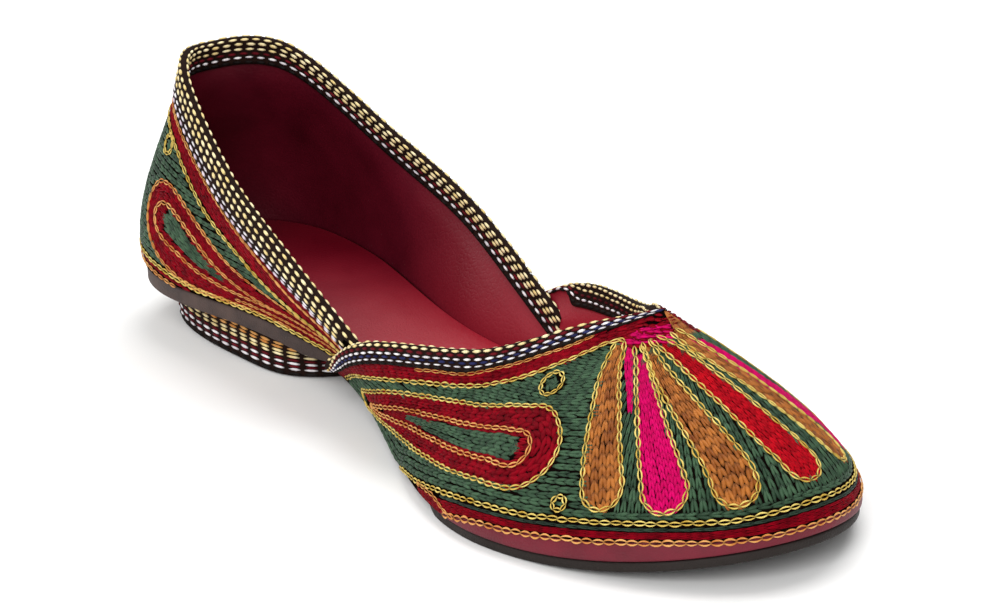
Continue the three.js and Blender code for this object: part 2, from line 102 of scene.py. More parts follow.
# %% Walking the lower edge
def unit(a):
    return a / np.maximum(np.linalg.norm(a, axis=-1, keepdims=True), 1e-9)


def slow_ends(t):
    """Spreads numbers from 0 to 1 so that they lie closer at both ends."""
    return 0.5 - 0.5 * np.cos(np.pi * t)


def lengths(spots):
    """How far each place of a line lies from its start."""
    return np.concatenate([[0], np.cumsum(np.linalg.norm(np.diff(spots, axis=0), axis=1))])


def places_at(at, run, spots):
    """The places of a line at given lengths."""
    return np.stack([np.interp(at, run, column) for column in spots.T], -1)


class LowerEdge:
    """The left half of the last's lower edge between two places, walked by its own length."""

    def __init__(self, start, end, steps=800):
        x = start + (end - start) * slow_ends(np.linspace(0, 1, steps + 1))
        self.line = np.stack([x, half_width(x)], -1)
        run = lengths(self.line)
        self.share = run / run[-1]
        out = np.gradient(self.line, run, axis=0)[:, ::-1] * [-1, 1]
        if start <= 0:
            out[0] = (-1, 0)
        if end >= LENGTH:
            out[-1] = (1, 0)
        self.out = unit(out)

    def at(self, share):
        x, y = (np.interp(share, self.share, column) for column in self.line.T)
        out = places_at(share, self.share, self.out)
        return np.stack([x, y, edge_high(x)], -1), np.concatenate([out, 0 * out[..., :1]], -1)


WHOLE_EDGE = LowerEdge(0, LENGTH)
print("widest half", round(float(WHOLE_EDGE.line[:, 1].max()), 1), "mm")

# %% [markdown]
# ## The two walls of the upper
# The upper is a quarter round the heel and a vamp over the toes; the quarter's ends pass inside the vamp's
# wings, which leaves the sides open. Each wall is a family of curved sections from the lower edge to the
# topline. One pair of numbers finds any place: v goes round the wall, t goes up it. Everything that is
# sewn on later uses the same pair, so it always lies on the surface.

# %% Toplines
# From their first end: along the shoe, out from the middle, above the floor
COLLAR_ROWS = np.array([
    (14, 0, 70.7), (26.4, 16.2, 69.6), (58.6, 25.4, 52.2), (89.8, 28.7, 38.5), (127.5, 27.8, 17.6),
])
THROAT_ROWS = np.array([
    (100.4, 25.8, 13.4), (126, 32.1, 27.1), (160.8, 24, 33.5), (180, 11.6, 41.4), (198.8, 0, 48.4),
])


def hermite(a, b, leave, arrive, t):
    """A cubic from a to b that leaves and arrives with the given slopes."""
    return a + (b - a) * (3 * t**2 - 2 * t**3) + leave * (t**3 - 2 * t**2 + t) + arrive * (t**3 - t**2)


def spline(rows, share, before=None):
    """Places on a smooth curve through a few rows; it comes in from the place before, if one is given."""
    rows = np.asarray(rows, float)
    before = 2 * rows[0] - rows[1] if before is None else before
    rows = np.vstack([before, rows, 2 * rows[-1] - rows[-2]])
    place = np.clip(share, 0, 1) * (len(rows) - 3)
    i = np.minimum(place.astype(int), len(rows) - 4)
    last, a, b, following = (rows[i + k] for k in range(4))
    return hermite(a, b, (b - last) / 2, (following - a) / 2, (place - i)[..., None])


print("collar", COLLAR_ROWS[0][2], "mm high at the back; throat", THROAT_ROWS[-1][2], "mm at its point")

# %% Quarter and vamp
WALL = 2.2
WING_AT, QUARTER_END_AT, THROAT_SHARE = 97.9, 127.5, 0.46
QUARTER_TUCK, TUCK_FROM, TUCK_TO = 1.0, 78.0, 98.0
COUNTER_SWELL, QUARTER_SWELL, SWELL_EASE = 4.3, 2.4, 0.6
QUARTER_RISE, QUARTER_TOP_SWELL = 0.33, 0.8
FLAT_FROM, FLAT_TO = 0.7, 0.9
# At the side and at the toe
VAMP_SWELL, VAMP_RISE, VAMP_REACH, VAMP_DROP = 1.5, (10.6, 14.0), (0.31, 0.45), (10.4, 12.4)
MOST_RISE, MOST_DROP = 0.6, 0.5
SKIRT_DROP, SKIRT_FROM, SKIRT_TO = 2.1, 132.0, 154.0
QUARTER_EDGE = LowerEdge(0, QUARTER_END_AT)
VAMP_EDGE = LowerEdge(WING_AT, LENGTH)


def matched(*numbers):
    return np.broadcast_arrays(*[np.asarray(n, float) for n in numbers])


def section(foot, lower, upper, top, v, t):
    t = t[..., None]
    u = 1 - t
    place = foot * u**3 + lower * 3 * u * u * t + upper * 3 * u * t * t + top * t**3
    place[..., 1] *= np.where(v < 0, -1, 1)
    return place


def quarter_point(v, t):
    v, t = matched(v, t)
    place, out = QUARTER_EDGE.at(abs(v))
    foot = place - out * QUARTER_TUCK * ramp(place[..., :1], TUCK_FROM, TUCK_TO)
    top = spline(COLLAR_ROWS, abs(v), COLLAR_ROWS[1] * [1, -1, 1])
    rise = UP * (top - foot)[..., 2:] * QUARTER_RISE
    swell = mix(COUNTER_SWELL, QUARTER_SWELL, ramp(abs(v), 0, SWELL_EASE))
    swell = out * (swell * (1 - ramp(abs(v), FLAT_FROM, FLAT_TO)))[..., None]
    return section(foot, foot + swell + rise, top + swell * QUARTER_TOP_SWELL - rise, top, v, t)


def vamp_point(v, t):
    v, t = matched(v, t)
    along = 1 - abs(v)
    place, out = VAMP_EDGE.at(along)
    place[..., 2] -= SKIRT_DROP * (1 - ramp(place[..., 0], SKIRT_FROM, SKIRT_TO))
    top = spline(THROAT_ROWS, along / THROAT_SHARE)
    toe = ramp(along, THROAT_SHARE, 1)[..., None]
    tall = (top - place)[..., 2:]
    rise = UP * np.minimum(mix(*VAMP_RISE, toe), tall * MOST_RISE)
    drop = UP * np.minimum(mix(*VAMP_DROP, toe), tall * MOST_DROP)
    reach = (place - top) * [1, 1, 0] * mix(*VAMP_REACH, toe)
    return section(place, place + out * VAMP_SWELL + rise, top + reach - drop, top, v, t)


for name, point in (("back of the collar", quarter_point), ("tip of the throat", vamp_point)):
    print(name, "at", np.round(point(0, 1), 1), "mm")

# %% [markdown]
# ### Measuring on a wall
# Embroidery and braid are planned in millimetres on the leather. So a wall also tells which way is out of
# the shoe, how far up a section a place lies, and where a line lands when it is moved sideways. A modifier
# that wraps one mesh onto another could do some of this, but only for meshes that are already there.


# %% Measuring on a wall
class Wall:
    """A wall's surface, the direction out of the shoe, and lengths measured up its sections."""

    STEP, MOST_STEP, ROUNDS, NEAR_TOP = 0.003, 0.06, 4, 0.97
    COLUMNS, ROWS = 400, 60
    THROAT_NEAR, THROAT_FACING = 0.7, np.array([0.301, 0.0, 0.954])

    def __init__(self, point, facing, has_throat):
        self.point, self.facing, self.has_throat = point, facing, has_throat
        grid = point(np.linspace(-1, 1, self.COLUMNS + 1)[:, None], np.linspace(0, 1, self.ROWS + 1)[None])
        steps = np.linalg.norm(np.diff(grid, axis=1), axis=2)
        self.run = np.concatenate([np.zeros((self.COLUMNS + 1, 1)), np.cumsum(steps, 1)], 1)

    def slopes(self, v, t):
        v0, v1 = np.maximum(v - self.STEP, -1), np.minimum(v + self.STEP, 1)
        t0, t1 = np.maximum(t - self.STEP, 0), np.minimum(t + self.STEP, 1)
        round_it = (self.point(v1, t) - self.point(v0, t)) / (v1 - v0)[..., None]
        up_it = (self.point(v, t1) - self.point(v, t0)) / (t1 - t0)[..., None]
        return round_it, up_it

    def out(self, v, t):
        """The direction out of the shoe; round the throat both sides of the vamp share one."""
        v, t = matched(v, t)
        facing = unit(np.cross(*self.slopes(v, np.minimum(t, self.NEAR_TOP)))) * self.facing
        if not self.has_throat:
            return facing
        share = ramp(t, self.THROAT_NEAR, 1) * ramp((1 - abs(v)) / THROAT_SHARE, self.THROAT_NEAR, 1)
        return unit(mix(facing, self.THROAT_FACING, share[..., None]))

    def at(self, v, t, lift=0.0):
        return self.point(v, t) + self.out(v, t) * np.asarray(lift)[..., None]

    def column(self, v):
        """Lengths up the section at v, from the lower edge to each row."""
        place = np.clip((np.asarray(v, float) + 1) / 2 * self.COLUMNS, 0, self.COLUMNS - 1e-6)
        i = place.astype(int)
        return mix(self.run[i], self.run[i + 1], (place - i)[..., None])

    @staticmethod
    def rows_beside(run, j):
        return [np.take_along_axis(run, j[..., None] + k, -1)[..., 0] for k in (0, 1)]

    def tall(self, v):
        return self.column(v)[..., -1]

    def up(self, v, mm):
        """The t that lies mm above the lower edge."""
        v, mm = matched(v, mm)
        run = self.column(v)
        j = np.clip((run <= mm[..., None]).sum(-1) - 1, 0, self.ROWS - 1)
        low, high = self.rows_beside(run, j)
        return np.clip((j + (mm - low) / (high - low)) / self.ROWS, 0, 1)

    def down(self, v, mm):
        """The t that lies mm below the topline."""
        return self.up(v, self.tall(v) - mm)

    def below(self, v, t):
        """How far a place lies below the topline, in mm."""
        run = self.column(v)
        place = np.clip(t * self.ROWS, 0, self.ROWS - 1e-6)
        j = place.astype(int)
        return run[..., -1] - mix(*self.rows_beside(run, j), place - j)

    def slide(self, line, aim, mm):
        """Moves a line of (v, t) sideways on the surface by mm along a direction for each place."""
        v, t = line.T.copy()
        target = self.point(v, t) + aim * np.asarray(mm)[..., None]
        most = self.MOST_STEP
        # Each round closes the gap that is left, by least squares along the two slopes
        for _ in range(self.ROUNDS):
            round_it, up_it = self.slopes(v, t)
            gap = target - self.point(v, t)
            a, b, c = (round_it**2).sum(1), (round_it * up_it).sum(1), (up_it**2).sum(1)
            p, q = (round_it * gap).sum(1), (up_it * gap).sum(1)
            det = np.maximum(a * c - b * b, 1e-6)
            v = np.clip(v + np.clip((p * c - q * b) / det, -most, most), -1, 1)
            t = np.clip(t + np.clip((q * a - p * b) / det, -most, most), 0, 1)
        return np.stack([v, t], -1)


QUARTER = Wall(quarter_point, -1, False)
VAMP = Wall(vamp_point, 1, True)
for name, wall in (("quarter", QUARTER), ("vamp", VAMP)):
    print(name, round(float(wall.tall(0.0)), 1), "mm up its middle")

# %% [markdown]
# ## Camera
# The shoe is seen from its right and in front, a little from above, through a long lens. The directions
# are worked out from two angles and a small roll, and the camera looks at a point over the middle of the
# shoe.

# %% Camera
TURN, ELEVATION, ROLL = math.radians(53.65), math.radians(19.8), math.radians(-1.67)
DISTANCE, LENS, SENSOR = 943.2, 141.6, 36.0
AIM = np.array([125.0 - MIDDLE, 0.0, 25.0])
AIM_RIGHT, AIM_UP = 7.0, 5.0


def add(name, data):
    """Puts a mesh, a lamp or a camera into the scene."""
    made = bpy.data.objects.new(name, data)
    bpy.context.scene.collection.objects.link(made)
    return made


level_right = np.array([math.cos(TURN), math.sin(TURN), 0.0])
toward = np.array([math.sin(TURN), -math.cos(TURN), 0.0]) * math.cos(ELEVATION) + UP * math.sin(ELEVATION)
level_up = np.cross(toward, level_right)
right = level_right * math.cos(ROLL) + level_up * math.sin(ROLL)
upward = level_up * math.cos(ROLL) - level_right * math.sin(ROLL)
eye = (AIM + toward * DISTANCE + right * AIM_RIGHT + upward * AIM_UP) * MM
lens = bpy.data.cameras.new("camera")
lens.lens, lens.sensor_width = LENS, SENSOR
camera = add("camera", lens)
camera.matrix_world = Matrix.Translation(Vector(eye)) @ Matrix((right, upward, toward)).transposed().to_4x4()
bpy.context.scene.camera = camera
print("camera", [round(float(c), 3) for c in eye])

# %% [markdown]
# ## Materials
# Every finish starts from what the real one is. Colours are written as they are seen on a screen and
# turned to linear light in one place. One small function adds a node, sets it and links it, so that a
# material reads from top to bottom.


# %% Colour and nodes
def colour(hex_code):
    parts = [int(hex_code[i : i + 2], 16) / 255 for i in (1, 3, 5)]
    return (*[c / 12.92 if c <= 0.04045 else ((c + 0.055) / 1.055) ** 2.4 for c in parts], 1.0)


def wire(material, made, inputs):
    """Fills a node's sockets: another node's output is linked, a number or a colour is set."""
    for name, value in inputs.items():
        if isinstance(value, bpy.types.NodeSocket):
            material.node_tree.links.new(value, made.inputs[name])
        else:
            made.inputs[name].default_value = value


def node(material, kind, inputs=None, out=0, **settings):
    """Adds a node with its settings and inputs, and gives one of its outputs."""
    made = material.node_tree.nodes.new("ShaderNode" + kind)
    for name, value in settings.items():
        setattr(made, name, value)
    wire(material, made, inputs or {})
    return made.outputs[out]


def blank(name):
    made = bpy.data.materials.new(name)
    made.use_nodes = True
    return made


def surface(material, inputs):
    wire(material, material.node_tree.nodes["Principled BSDF"], inputs)
    return material


print("black", colour("#000000"), "white", colour("#ffffff"))

# %% [markdown]
# ### Leather
# Goatskin has pores and fine wrinkles about a millimetre across. Voronoi cells give the pebbles, noise
# gives uneven dye, and the gloss of the dressing is broken up by the same noise. An image of leather would
# show its repeats; this has none. Lining and insole are darker at the heel than in front: a painted shade
# for the deep heel cup, where little light reaches.

# %% Leathers
FRONT_RAMP_FROM, FRONT_RAMP_TO = -60.0, 25.0
COAT_ROUGH = 0.35


def leather(name, dark, light, grain, deep, rough, patch, covered=None, front=None, shine=0.5, coat=0.0):
    """Sizes in mm: grain across a pebble, deep for its height, patch across a cloud of dye."""
    made = blank(name)
    place = node(made, "TexCoord", out="Object")
    dye = node(made, "TexNoise", {
        "Vector": place, "Scale": 1 / (patch * MM), "Detail": 5.0, "Roughness": 0.6,
    })
    pores = node(made, "TexVoronoi", {"Vector": place, "Scale": 1 / (grain * MM)}, feature="DISTANCE_TO_EDGE")
    creases = node(made, "TexNoise", {"Vector": place, "Scale": 0.5 / (grain * MM), "Detail": 6.0})
    clouds = node(made, "MapRange", {"Value": dye, "From Min": 0.3, "From Max": 0.7})
    base = node(made, "Mix", {0: clouds, 6: colour(dark), 7: colour(light)}, 2, data_type="RGBA")
    # Lining and insole: painted shade at the heel, lighter in front; sole edge: simply darker towards the toe
    if front:
        along = node(made, "SeparateXYZ", {0: place})
        toward_front = node(made, "MapRange", {"Value": along, "From Min": FRONT_RAMP_FROM * MM, "From Max": FRONT_RAMP_TO * MM})
        base = node(made, "Mix", {0: toward_front, 6: base, 7: colour(front)}, 2, data_type="RGBA")
    # Painted shade: under the thread the leather goes near black, the shadow between the stitches
    if covered:
        worked = node(made, "Attribute", None, "Fac", attribute_name="worked")
        base = node(made, "Mix", {0: worked, 6: base, 7: colour(covered)}, 2, data_type="RGBA")
        shine = node(made, "MapRange", {"Value": worked, "To Min": shine, "To Max": 0.0})
    gloss = node(made, "MapRange", {"Value": clouds, "To Min": rough[0], "To Max": rough[1]})
    cells = node(made, "MapRange", {"Value": pores, "From Max": 0.25})
    height = node(made, "Math", {0: cells, 1: creases}, operation="ADD")
    bump = node(made, "Bump", {"Height": height, "Strength": 0.6, "Distance": deep * MM})
    return surface(made, {
        "Base Color": base, "Roughness": gloss, "Normal": bump, "IOR": 1.5, "Specular IOR Level": shine,
        "Coat Weight": coat, "Coat Roughness": COAT_ROUGH,
    })


# Vegetable-tanned goatskin dyed maroon: bare along the toe, nearly black in the shadow under the thread
UPPER_LEATHER = leather(
    "maroon_goatskin", "#560d1d", "#731629", grain=0.9, deep=0.06, rough=(0.42, 0.58), patch=14,
    covered="#0d0706", shine=0.3,
)
# Glazed sheepskin lining: deep maroon with a soft shine, in painted shade at the heel and lighter in front
LINING = leather(
    "glazed_sheepskin_lining", "#420412", "#63091e", grain=1.3, deep=0.05, rough=(0.4, 0.55), patch=30,
    front="#a42030", shine=0.3,
)
# Polished cowhide insole: painted bright crimson in front where it catches the light, in painted shade at the
# heel
INSOLE = leather(
    "polished_cowhide_insole", "#6c0519", "#7f0a20", grain=1.1, deep=0.04, rough=(0.34, 0.48), patch=26,
    front="#b01429", shine=0.35, coat=0.08,
)
# Sole leather with a burnished edge: greyish brown, matt, darker towards the toe
SOLE_EDGE = leather(
    "burnished_sole_leather", "#332826", "#54443f", grain=0.7, deep=0.08, rough=(0.55, 0.75), patch=9,
    front="#231c19", shine=0.25,
)
# Heel of pressed leather lifts, darker than the sole
HEEL_STACK = leather(
    "stacked_heel_leather", "#2a1d16", "#453126", grain=0.8, deep=0.08, rough=(0.6, 0.8), patch=7,
)
print("leathers:", [m.name for m in bpy.data.materials])

# %% [markdown]
# ## Smooth sheets
# The solids have flat facets. The dressed pieces start from a grid of squares whose corners are moved onto
# the same surfaces, closely enough to look smooth. A grid that closes on itself or runs to a point has its
# doubled corners merged, and a Solidify modifier gives a wall its thickness.

# %% Sheets and pieces
# Where a sheet's facing is tested, away from its seams
SAMPLE_U, SAMPLE_W, SAMPLE_STEP = np.array([0.31]), np.array([0.23]), 1e-3
MERGE = 0.004


def to_row(points):
    return (np.asarray(points) - [MIDDLE, 0, 0]) * MM


def sheet(columns, rows, place, facing, worked=None, full=None):
    """A grid bent onto a surface: place(u, w) gives millimetres for u and w from 0 to 1, and facing(u, w) the
    side that the faces look to. worked(u, w) is a number that the corners carry, and full(u, w) their weight
    in the first vertex group."""
    bm = bmesh.new()
    bmesh.ops.create_grid(bm, x_segments=columns, y_segments=rows, size=0.5)
    u, w = np.array([v.co[:2] for v in bm.verts]).T + 0.5
    for vert, spot in zip(bm.verts, to_row(place(u, w))):
        vert.co = spot
    if worked:
        layer = bm.verts.layers.float.new("worked")
        for vert, value in zip(bm.verts, worked(u, w)):
            vert[layer] = value
    if full:
        group = bm.verts.layers.deform.verify()
        for vert, value in zip(bm.verts, full(u, w)):
            vert[group][0] = value
    u, w, e = SAMPLE_U, SAMPLE_W, SAMPLE_STEP
    normal = np.cross(place(u + e, w) - place(u, w), place(u, w + e) - place(u, w))
    if float((normal * facing(u, w)).sum()) < 0:
        bmesh.ops.reverse_faces(bm, faces=bm.faces)
    bmesh.ops.remove_doubles(bm, verts=bm.verts, dist=MERGE * MM)
    return bm


def dress(name, mesh, materials, replaced=None):
    """Makes a mesh a piece of the shoe, which may stand for a solid."""
    mesh.shade_smooth()
    for material in materials:
        mesh.materials.append(material)
    made = add(name, mesh)
    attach(made, "root")
    if replaced:
        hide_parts(replaced)
    print(name, len(mesh.polygons), "faces")
    return made


def piece(name, bm, materials, replaced=None):
    mesh = bpy.data.meshes.new(name)
    bm.to_mesh(mesh)
    bm.free()
    return dress(name, mesh, materials, replaced)


def thicken(made, name, thick):
    """Gives a sheet its thickness, inwards."""
    solid = made.modifiers.new(name, "SOLIDIFY")
    solid.thickness, solid.offset = thick * MM, -1
    return solid


# %% [markdown]
# ### Shells of the upper
# Leather with a lining glued behind it. The outside takes the leather and the inside the lining, which
# Solidify does with a material offset. Thread covers all the leather but a strip along the toe, so the
# corners carry a number, worked, that darkens it there, a painted shade for the shadow between the
# stitches. Below the topline the leather is pared thin for the braid, which a vertex group does. The lining
# is not dead flat: where the wall turns at the heel and the waist it lies in soft shallow waves, given as
# troughs across the wall.

# %% Upper shells
SKIVED, SKIVE_FROM, SKIVE_TO = 0.4, 2.0, 13.0
QUARTER_GRID, VAMP_GRID = (150, 36), (190, 88)
LINING_WAVES = [{"at": 0.3, "wide": 0.05, "deep": 0.25}, {"at": 0.62, "wide": 0.07, "deep": 0.3}]
# Height of the orange chain above the vamp's lower edge, by v on either side
LOW_ORANGE = [
    (0, 2.4), (0.08, 2.5), (0.2, 4.1), (0.34, 4.3), (0.42, 3.6), (0.48, 2.8), (0.52, 1.6), (0.56, 0.0),
]


def by_side(rows, v):
    """A smooth value from a short table of v and millimetres, the same on both sides."""
    x, y = np.array(rows).T
    i = np.clip(np.searchsorted(x, abs(v)) - 1, 0, len(x) - 2)
    h = x[i + 1] - x[i]
    slope = np.gradient(y, x)
    return hermite(y[i], y[i + 1], h * slope[i], h * slope[i + 1], np.clip((abs(v) - x[i]) / h, 0, 1))


def wall_thick(down):
    """Thickness of the wall at a depth below the topline."""
    return WALL * mix(SKIVED, 1, ramp(down, SKIVE_FROM, SKIVE_TO))


def shell(name, wall, grid, bare, replaced=None):
    def place(u, w):
        v = 2 * u - 1
        dip = sum(r["deep"] * np.exp(-(((abs(v) - r["at"]) / r["wide"]) ** 2)) for r in LINING_WAVES)
        return wall.at(v, w, -dip * np.sin(np.pi * w))

    def worked(u, w):
        v = 2 * u - 1
        return (w >= wall.up(v, bare(v))).astype(float)

    def full(u, w):
        return (wall_thick(wall.below(2 * u - 1, w)) / WALL - SKIVED) / (1 - SKIVED)

    bm = sheet(*grid, place, lambda u, w: wall.out(2 * u - 1, w), worked, full)
    made = piece(name, bm, [UPPER_LEATHER, LINING], replaced)
    made.vertex_groups.new(name="full_thickness")
    solid = thicken(made, "wall", WALL)
    solid.material_offset, solid.vertex_group, solid.thickness_vertex_group = 1, "full_thickness", SKIVED


shell("quarter_shell", QUARTER, QUARTER_GRID, lambda v: 0 * v, "upper")
shell("vamp_shell", VAMP, VAMP_GRID, lambda v: np.maximum(0, by_side(LOW_ORANGE, v)))

# %% [markdown]
# ### Sole, insole and heel
# The plates are cut from leather to the outline of the last. Each is one sheet wrapped right round: over
# the top, down the side, back underneath and up the other side, with the rim rounded as a burnishing iron
# would. At the toe and the heel the sheet runs to a line, where its corners merge. The sole is drawn in at
# the waist. The heel block's solid is already right, so it only gets its leather.

# %% Plates
FIT, HEEL_BREAST = 0.3, 80.5
SOLE_SEAT, SOLE_WAIST, SOLE_FORE, SOLE_ROUND = 4.4, 1.8, 2.5, 0.7
WAIST_THIN_FROM, WAIST_THIN_TO = 100.0, 140.0
SOLE_TUCK, TUCK_IN, TUCK_OUT = 2.4, (80.0, 96.0), (154.0, 170.0)
INSOLE_THICK, INSOLE_INSET, INSOLE_ROUND = 1.8, 3.1, 0.5
PLATE_GRID = (120, 40)
TOP, LEFT, UNDER = 0, 1, 2


def plate(name, inset, top, thick, rounding, material, replaced):
    def place(u, w):
        part = np.minimum((4 * w + 1e-6).astype(int), 3)
        s = 4 * w - part
        parts = [part == TOP, part == LEFT, part == UNDER]
        side = np.select(parts, [2 * s - 1, 1, 1 - 2 * s], -1)
        bend = np.pi * np.round(np.select(parts, [0.5, 0.5 - s, -0.5], s - 0.5), 5)
        spot, out = WHOLE_EDGE.at(slow_ends(u))
        spot = spot - out * (inset(spot[:, 0]) + rounding * (1 - np.cos(bend)))[:, None]
        x, half = spot[:, 0], np.maximum(0, spot[:, 1])
        level = np.where(bend >= 0, top(x) - rounding, top(x) - thick(x) + rounding)
        return np.stack([x, side * half, level + rounding * np.sin(bend)], -1)

    piece(name, sheet(*PLATE_GRID, place, lambda u, w: UP), [material], replaced)


def sole_thick(x):
    waist = mix(SOLE_SEAT, SOLE_WAIST, ramp(x, HEEL_BREAST, WAIST_THIN_FROM))
    return mix(waist, SOLE_FORE, ramp(x, WAIST_THIN_TO, TREAD_FROM))


def sole_inset(x):
    return SOLE_INSET + SOLE_TUCK * ramp(x, *TUCK_IN) * (1 - ramp(x, *TUCK_OUT))


plate("sole_plate", sole_inset, lambda x: edge_high(x) - FIT, sole_thick, SOLE_ROUND, SOLE_EDGE,
      "outsole")
plate("insole_sock", lambda x: INSOLE_INSET + 0 * x, lambda x: edge_high(x) + INSOLE_THICK,
      lambda x: INSOLE_THICK + 0 * x, INSOLE_ROUND, INSOLE, "insole")
heel_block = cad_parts["heel"]
heel_block.data.materials.clear()
heel_block.data.materials.append(HEEL_STACK)

# %% [markdown]
# ## Stitches
# Chain stitch is a row of loops, each holding the one before. Close together the two legs of a loop look
# like the letter V, and a filled shape looks like knitting; worked loosely in a thin thread the loops stay
# open, as in the yellow outlines. One strand is made from a cone with its ends tapered and its length
# bent, and the pair is its mirrored copy. Thousands of stitches repeat these few shapes, so each has only
# a few dozen faces.


# %% One stitch
class Stitch:
    """One step of thread along x; side(s) and thick(s) shape a strand along its length."""

    def __init__(self, sides, cuts, reach, side, thick, paired):
        bm = bmesh.new()
        bmesh.ops.create_cone(bm, cap_ends=True, segments=sides, radius1=1, radius2=1, depth=1)
        lengthwise = [e for e in bm.edges if abs(e.verts[0].co.z - e.verts[1].co.z) > 0.5]
        bmesh.ops.subdivide_edges(bm, edges=lengthwise, cuts=cuts)
        for vert in bm.verts:
            s = vert.co.z + 0.5
            vert.co = (s * reach, side(s) + vert.co.x * thick(s), vert.co.y * thick(s))
        if paired:
            bmesh.ops.mirror(bm, geom=bm.verts[:] + bm.edges[:] + bm.faces[:], axis="Y", merge_dist=-1)
        bmesh.ops.recalc_face_normals(bm, faces=bm.faces)
        bm.verts.index_update()
        self.corners = np.array([v.co for v in bm.verts])
        # 0 at the ends, where the thread dives into the cloth, and 1 halfway
        self.dive = np.sin(np.pi * np.clip(self.corners[:, 0] / reach, 0, 1))
        self.loops = np.array([v.index for f in bm.faces for v in f.verts])
        self.starts = np.cumsum([0] + [len(f.verts) for f in bm.faces][:-1])
        bm.free()


def taper(s, least):
    return max(least, math.sin(math.pi * min(max(s, 0.0), 1.0)) ** 0.5)


FILL = Stitch(
    sides=5, cuts=2, reach=1.3, paired=True,
    side=lambda s: 0.14 + 0.46 * s, thick=lambda s: 0.46 * taper(s, 0.45),
)
OPEN = Stitch(
    sides=5, cuts=4, reach=1.12, paired=True,
    side=lambda s: 0.1 + 0.62 * math.sin(math.pi * s) ** 0.9, thick=lambda s: 0.31 * taper(s, 0.6),
)
DASH = Stitch(
    sides=6, cuts=2, reach=1.0, paired=False, side=lambda s: 0.0, thick=lambda s: taper(s, 0.45),
)
print("stitch corners:", len(FILL.corners), len(OPEN.corners), len(DASH.corners))

# %% [markdown]
# ### Sewing a line
# A line on a wall is walked in equal steps of real length, as a needle would, and every step gets one
# stitch turned along the line and standing on the surface. The hand is not a machine, so each stitch is a
# little longer, wider or lighter than the next. All stitches in one thread are gathered and joined into
# one mesh, because thousands of separate objects would be slow.

# %% Needle
# The narrowest stitch, and the greatest height of one for its width
LEAST_WIDE, MOST_HIGH = 0.3, 0.5
SEWN = {}


def walk(surface, line, pitch):
    """Equal steps along a line of two surface numbers: where each starts and ends, and its middle, as
    surface numbers and as a place in the line."""
    spots = surface.point(*line.T)
    run = lengths(spots)
    steps = np.linspace(0, run[-1], max(1, int(round(run[-1] / pitch))) + 1)
    knots = places_at(steps, run, spots)
    halfway = (steps[1:] + steps[:-1]) / 2
    return knots[:-1], knots[1:], places_at(halfway, run, line), np.interp(halfway, run, np.arange(len(line)))


def lay(thread, shape, start, end, facing, wide, high):
    SEWN.setdefault(thread, []).append((shape, start, end, facing, wide, high))


def sew(thread, shape, surface, line, stitch, width, keep=None, fill=1.0, lift=0.0):
    """Sews a line: stitch is a length and a height, width one number or one for each place of the line."""
    pitch, high = stitch
    start, end, middle, place = walk(surface, line, pitch)
    wide = np.interp(place, np.arange(len(line)), np.broadcast_to(np.asarray(width, float), len(line)))
    kept = wide > LEAST_WIDE
    if keep is not None:
        kept &= keep(*middle.T)
    start, end, facing, wide = (a[kept] for a in (start, end, surface.out(*middle.T), wide))
    high = np.minimum(high, wide * MOST_HIGH)
    lay(thread, shape, start + facing * lift, end + facing * lift, facing, wide * fill, high)


def count_sewn(what):
    print(what, "done,", sum(len(row[1]) for rows in SEWN.values() for row in rows), "stitches so far")


# %% Joining the stitches of one thread
HAND = np.random.default_rng(11)
LONGER, WIDER, HIGHER, ASIDE = 0.05, 0.08, 0.1, 0.05


def gather(thread, name, material):
    corners, tints, dives, loops, starts = [], [], [], [], []
    corner_count = loop_count = 0
    for shape, start, end, facing, wide, high in SEWN[thread]:
        n, k = len(start), len(shape.corners)
        length = np.linalg.norm(end - start, axis=1)
        ahead = (end - start) / np.maximum(length, 1e-6)[:, None]
        side = unit(np.cross(facing, ahead))
        wobble = HAND.normal(0, 1, (n, 4)).T
        length = length * (1 + LONGER * wobble[0])
        size = (length, wide / 2 * (1 + WIDER * wobble[1]), high * (1 + HIGHER * wobble[2]))
        spots = shape.corners[None] * np.stack(size, -1)[:, None]
        spots[..., 1] += (wide * ASIDE * wobble[3])[:, None]
        axes = np.stack([ahead, side, np.cross(ahead, side)], 1)
        corners.append((start[:, None] + spots @ axes).reshape(-1, 3))
        tints.append(np.repeat(HAND.random(n), k))
        dives.append(np.tile(shape.dive, n))
        loops.append((shape.loops[None] + (corner_count + k * np.arange(n))[:, None]).ravel())
        starts.append((shape.starts[None] + (loop_count + len(shape.loops) * np.arange(n))[:, None]).ravel())
        corner_count += n * k
        loop_count += n * len(shape.loops)
    mesh = bpy.data.meshes.new(name)
    mesh.vertices.add(corner_count)
    mesh.vertices.foreach_set("co", to_row(np.concatenate(corners)).astype(np.float32).ravel())
    mesh.loops.add(loop_count)
    mesh.loops.foreach_set("vertex_index", np.concatenate(loops).astype(np.int32))
    starts = np.concatenate(starts).astype(np.int32)
    mesh.polygons.add(len(starts))
    mesh.polygons.foreach_set("loop_start", starts)
    mesh.update(calc_edges=True)
    for label, values in (("tint", tints), ("dive", dives)):
        layer = mesh.attributes.new(label, "FLOAT", "POINT")
        layer.data.foreach_set("value", np.concatenate(values).astype(np.float32))
    dress(name, mesh, [material])


# %% [markdown]
# ### Thread
# Viscose thread shines along its length, and where it dives into the cloth its colour is darkened as a
# painted shade. Two numbers carried by every stitch do this: tint shifts the dye a little from stitch to
# stitch, and dive is 0 at the ends of a stitch and 1 at its top. Reds and pinks are worked so closely that
# they look like velvet, matt and with little painted shade. The braid's cotton is matt too. The twist of
# the yarn, about a third of a millimetre, is a fine bump.

# %% Threads
FUZZ, TWIST, TWIST_DEEP = 2.5, 0.35, 0.08


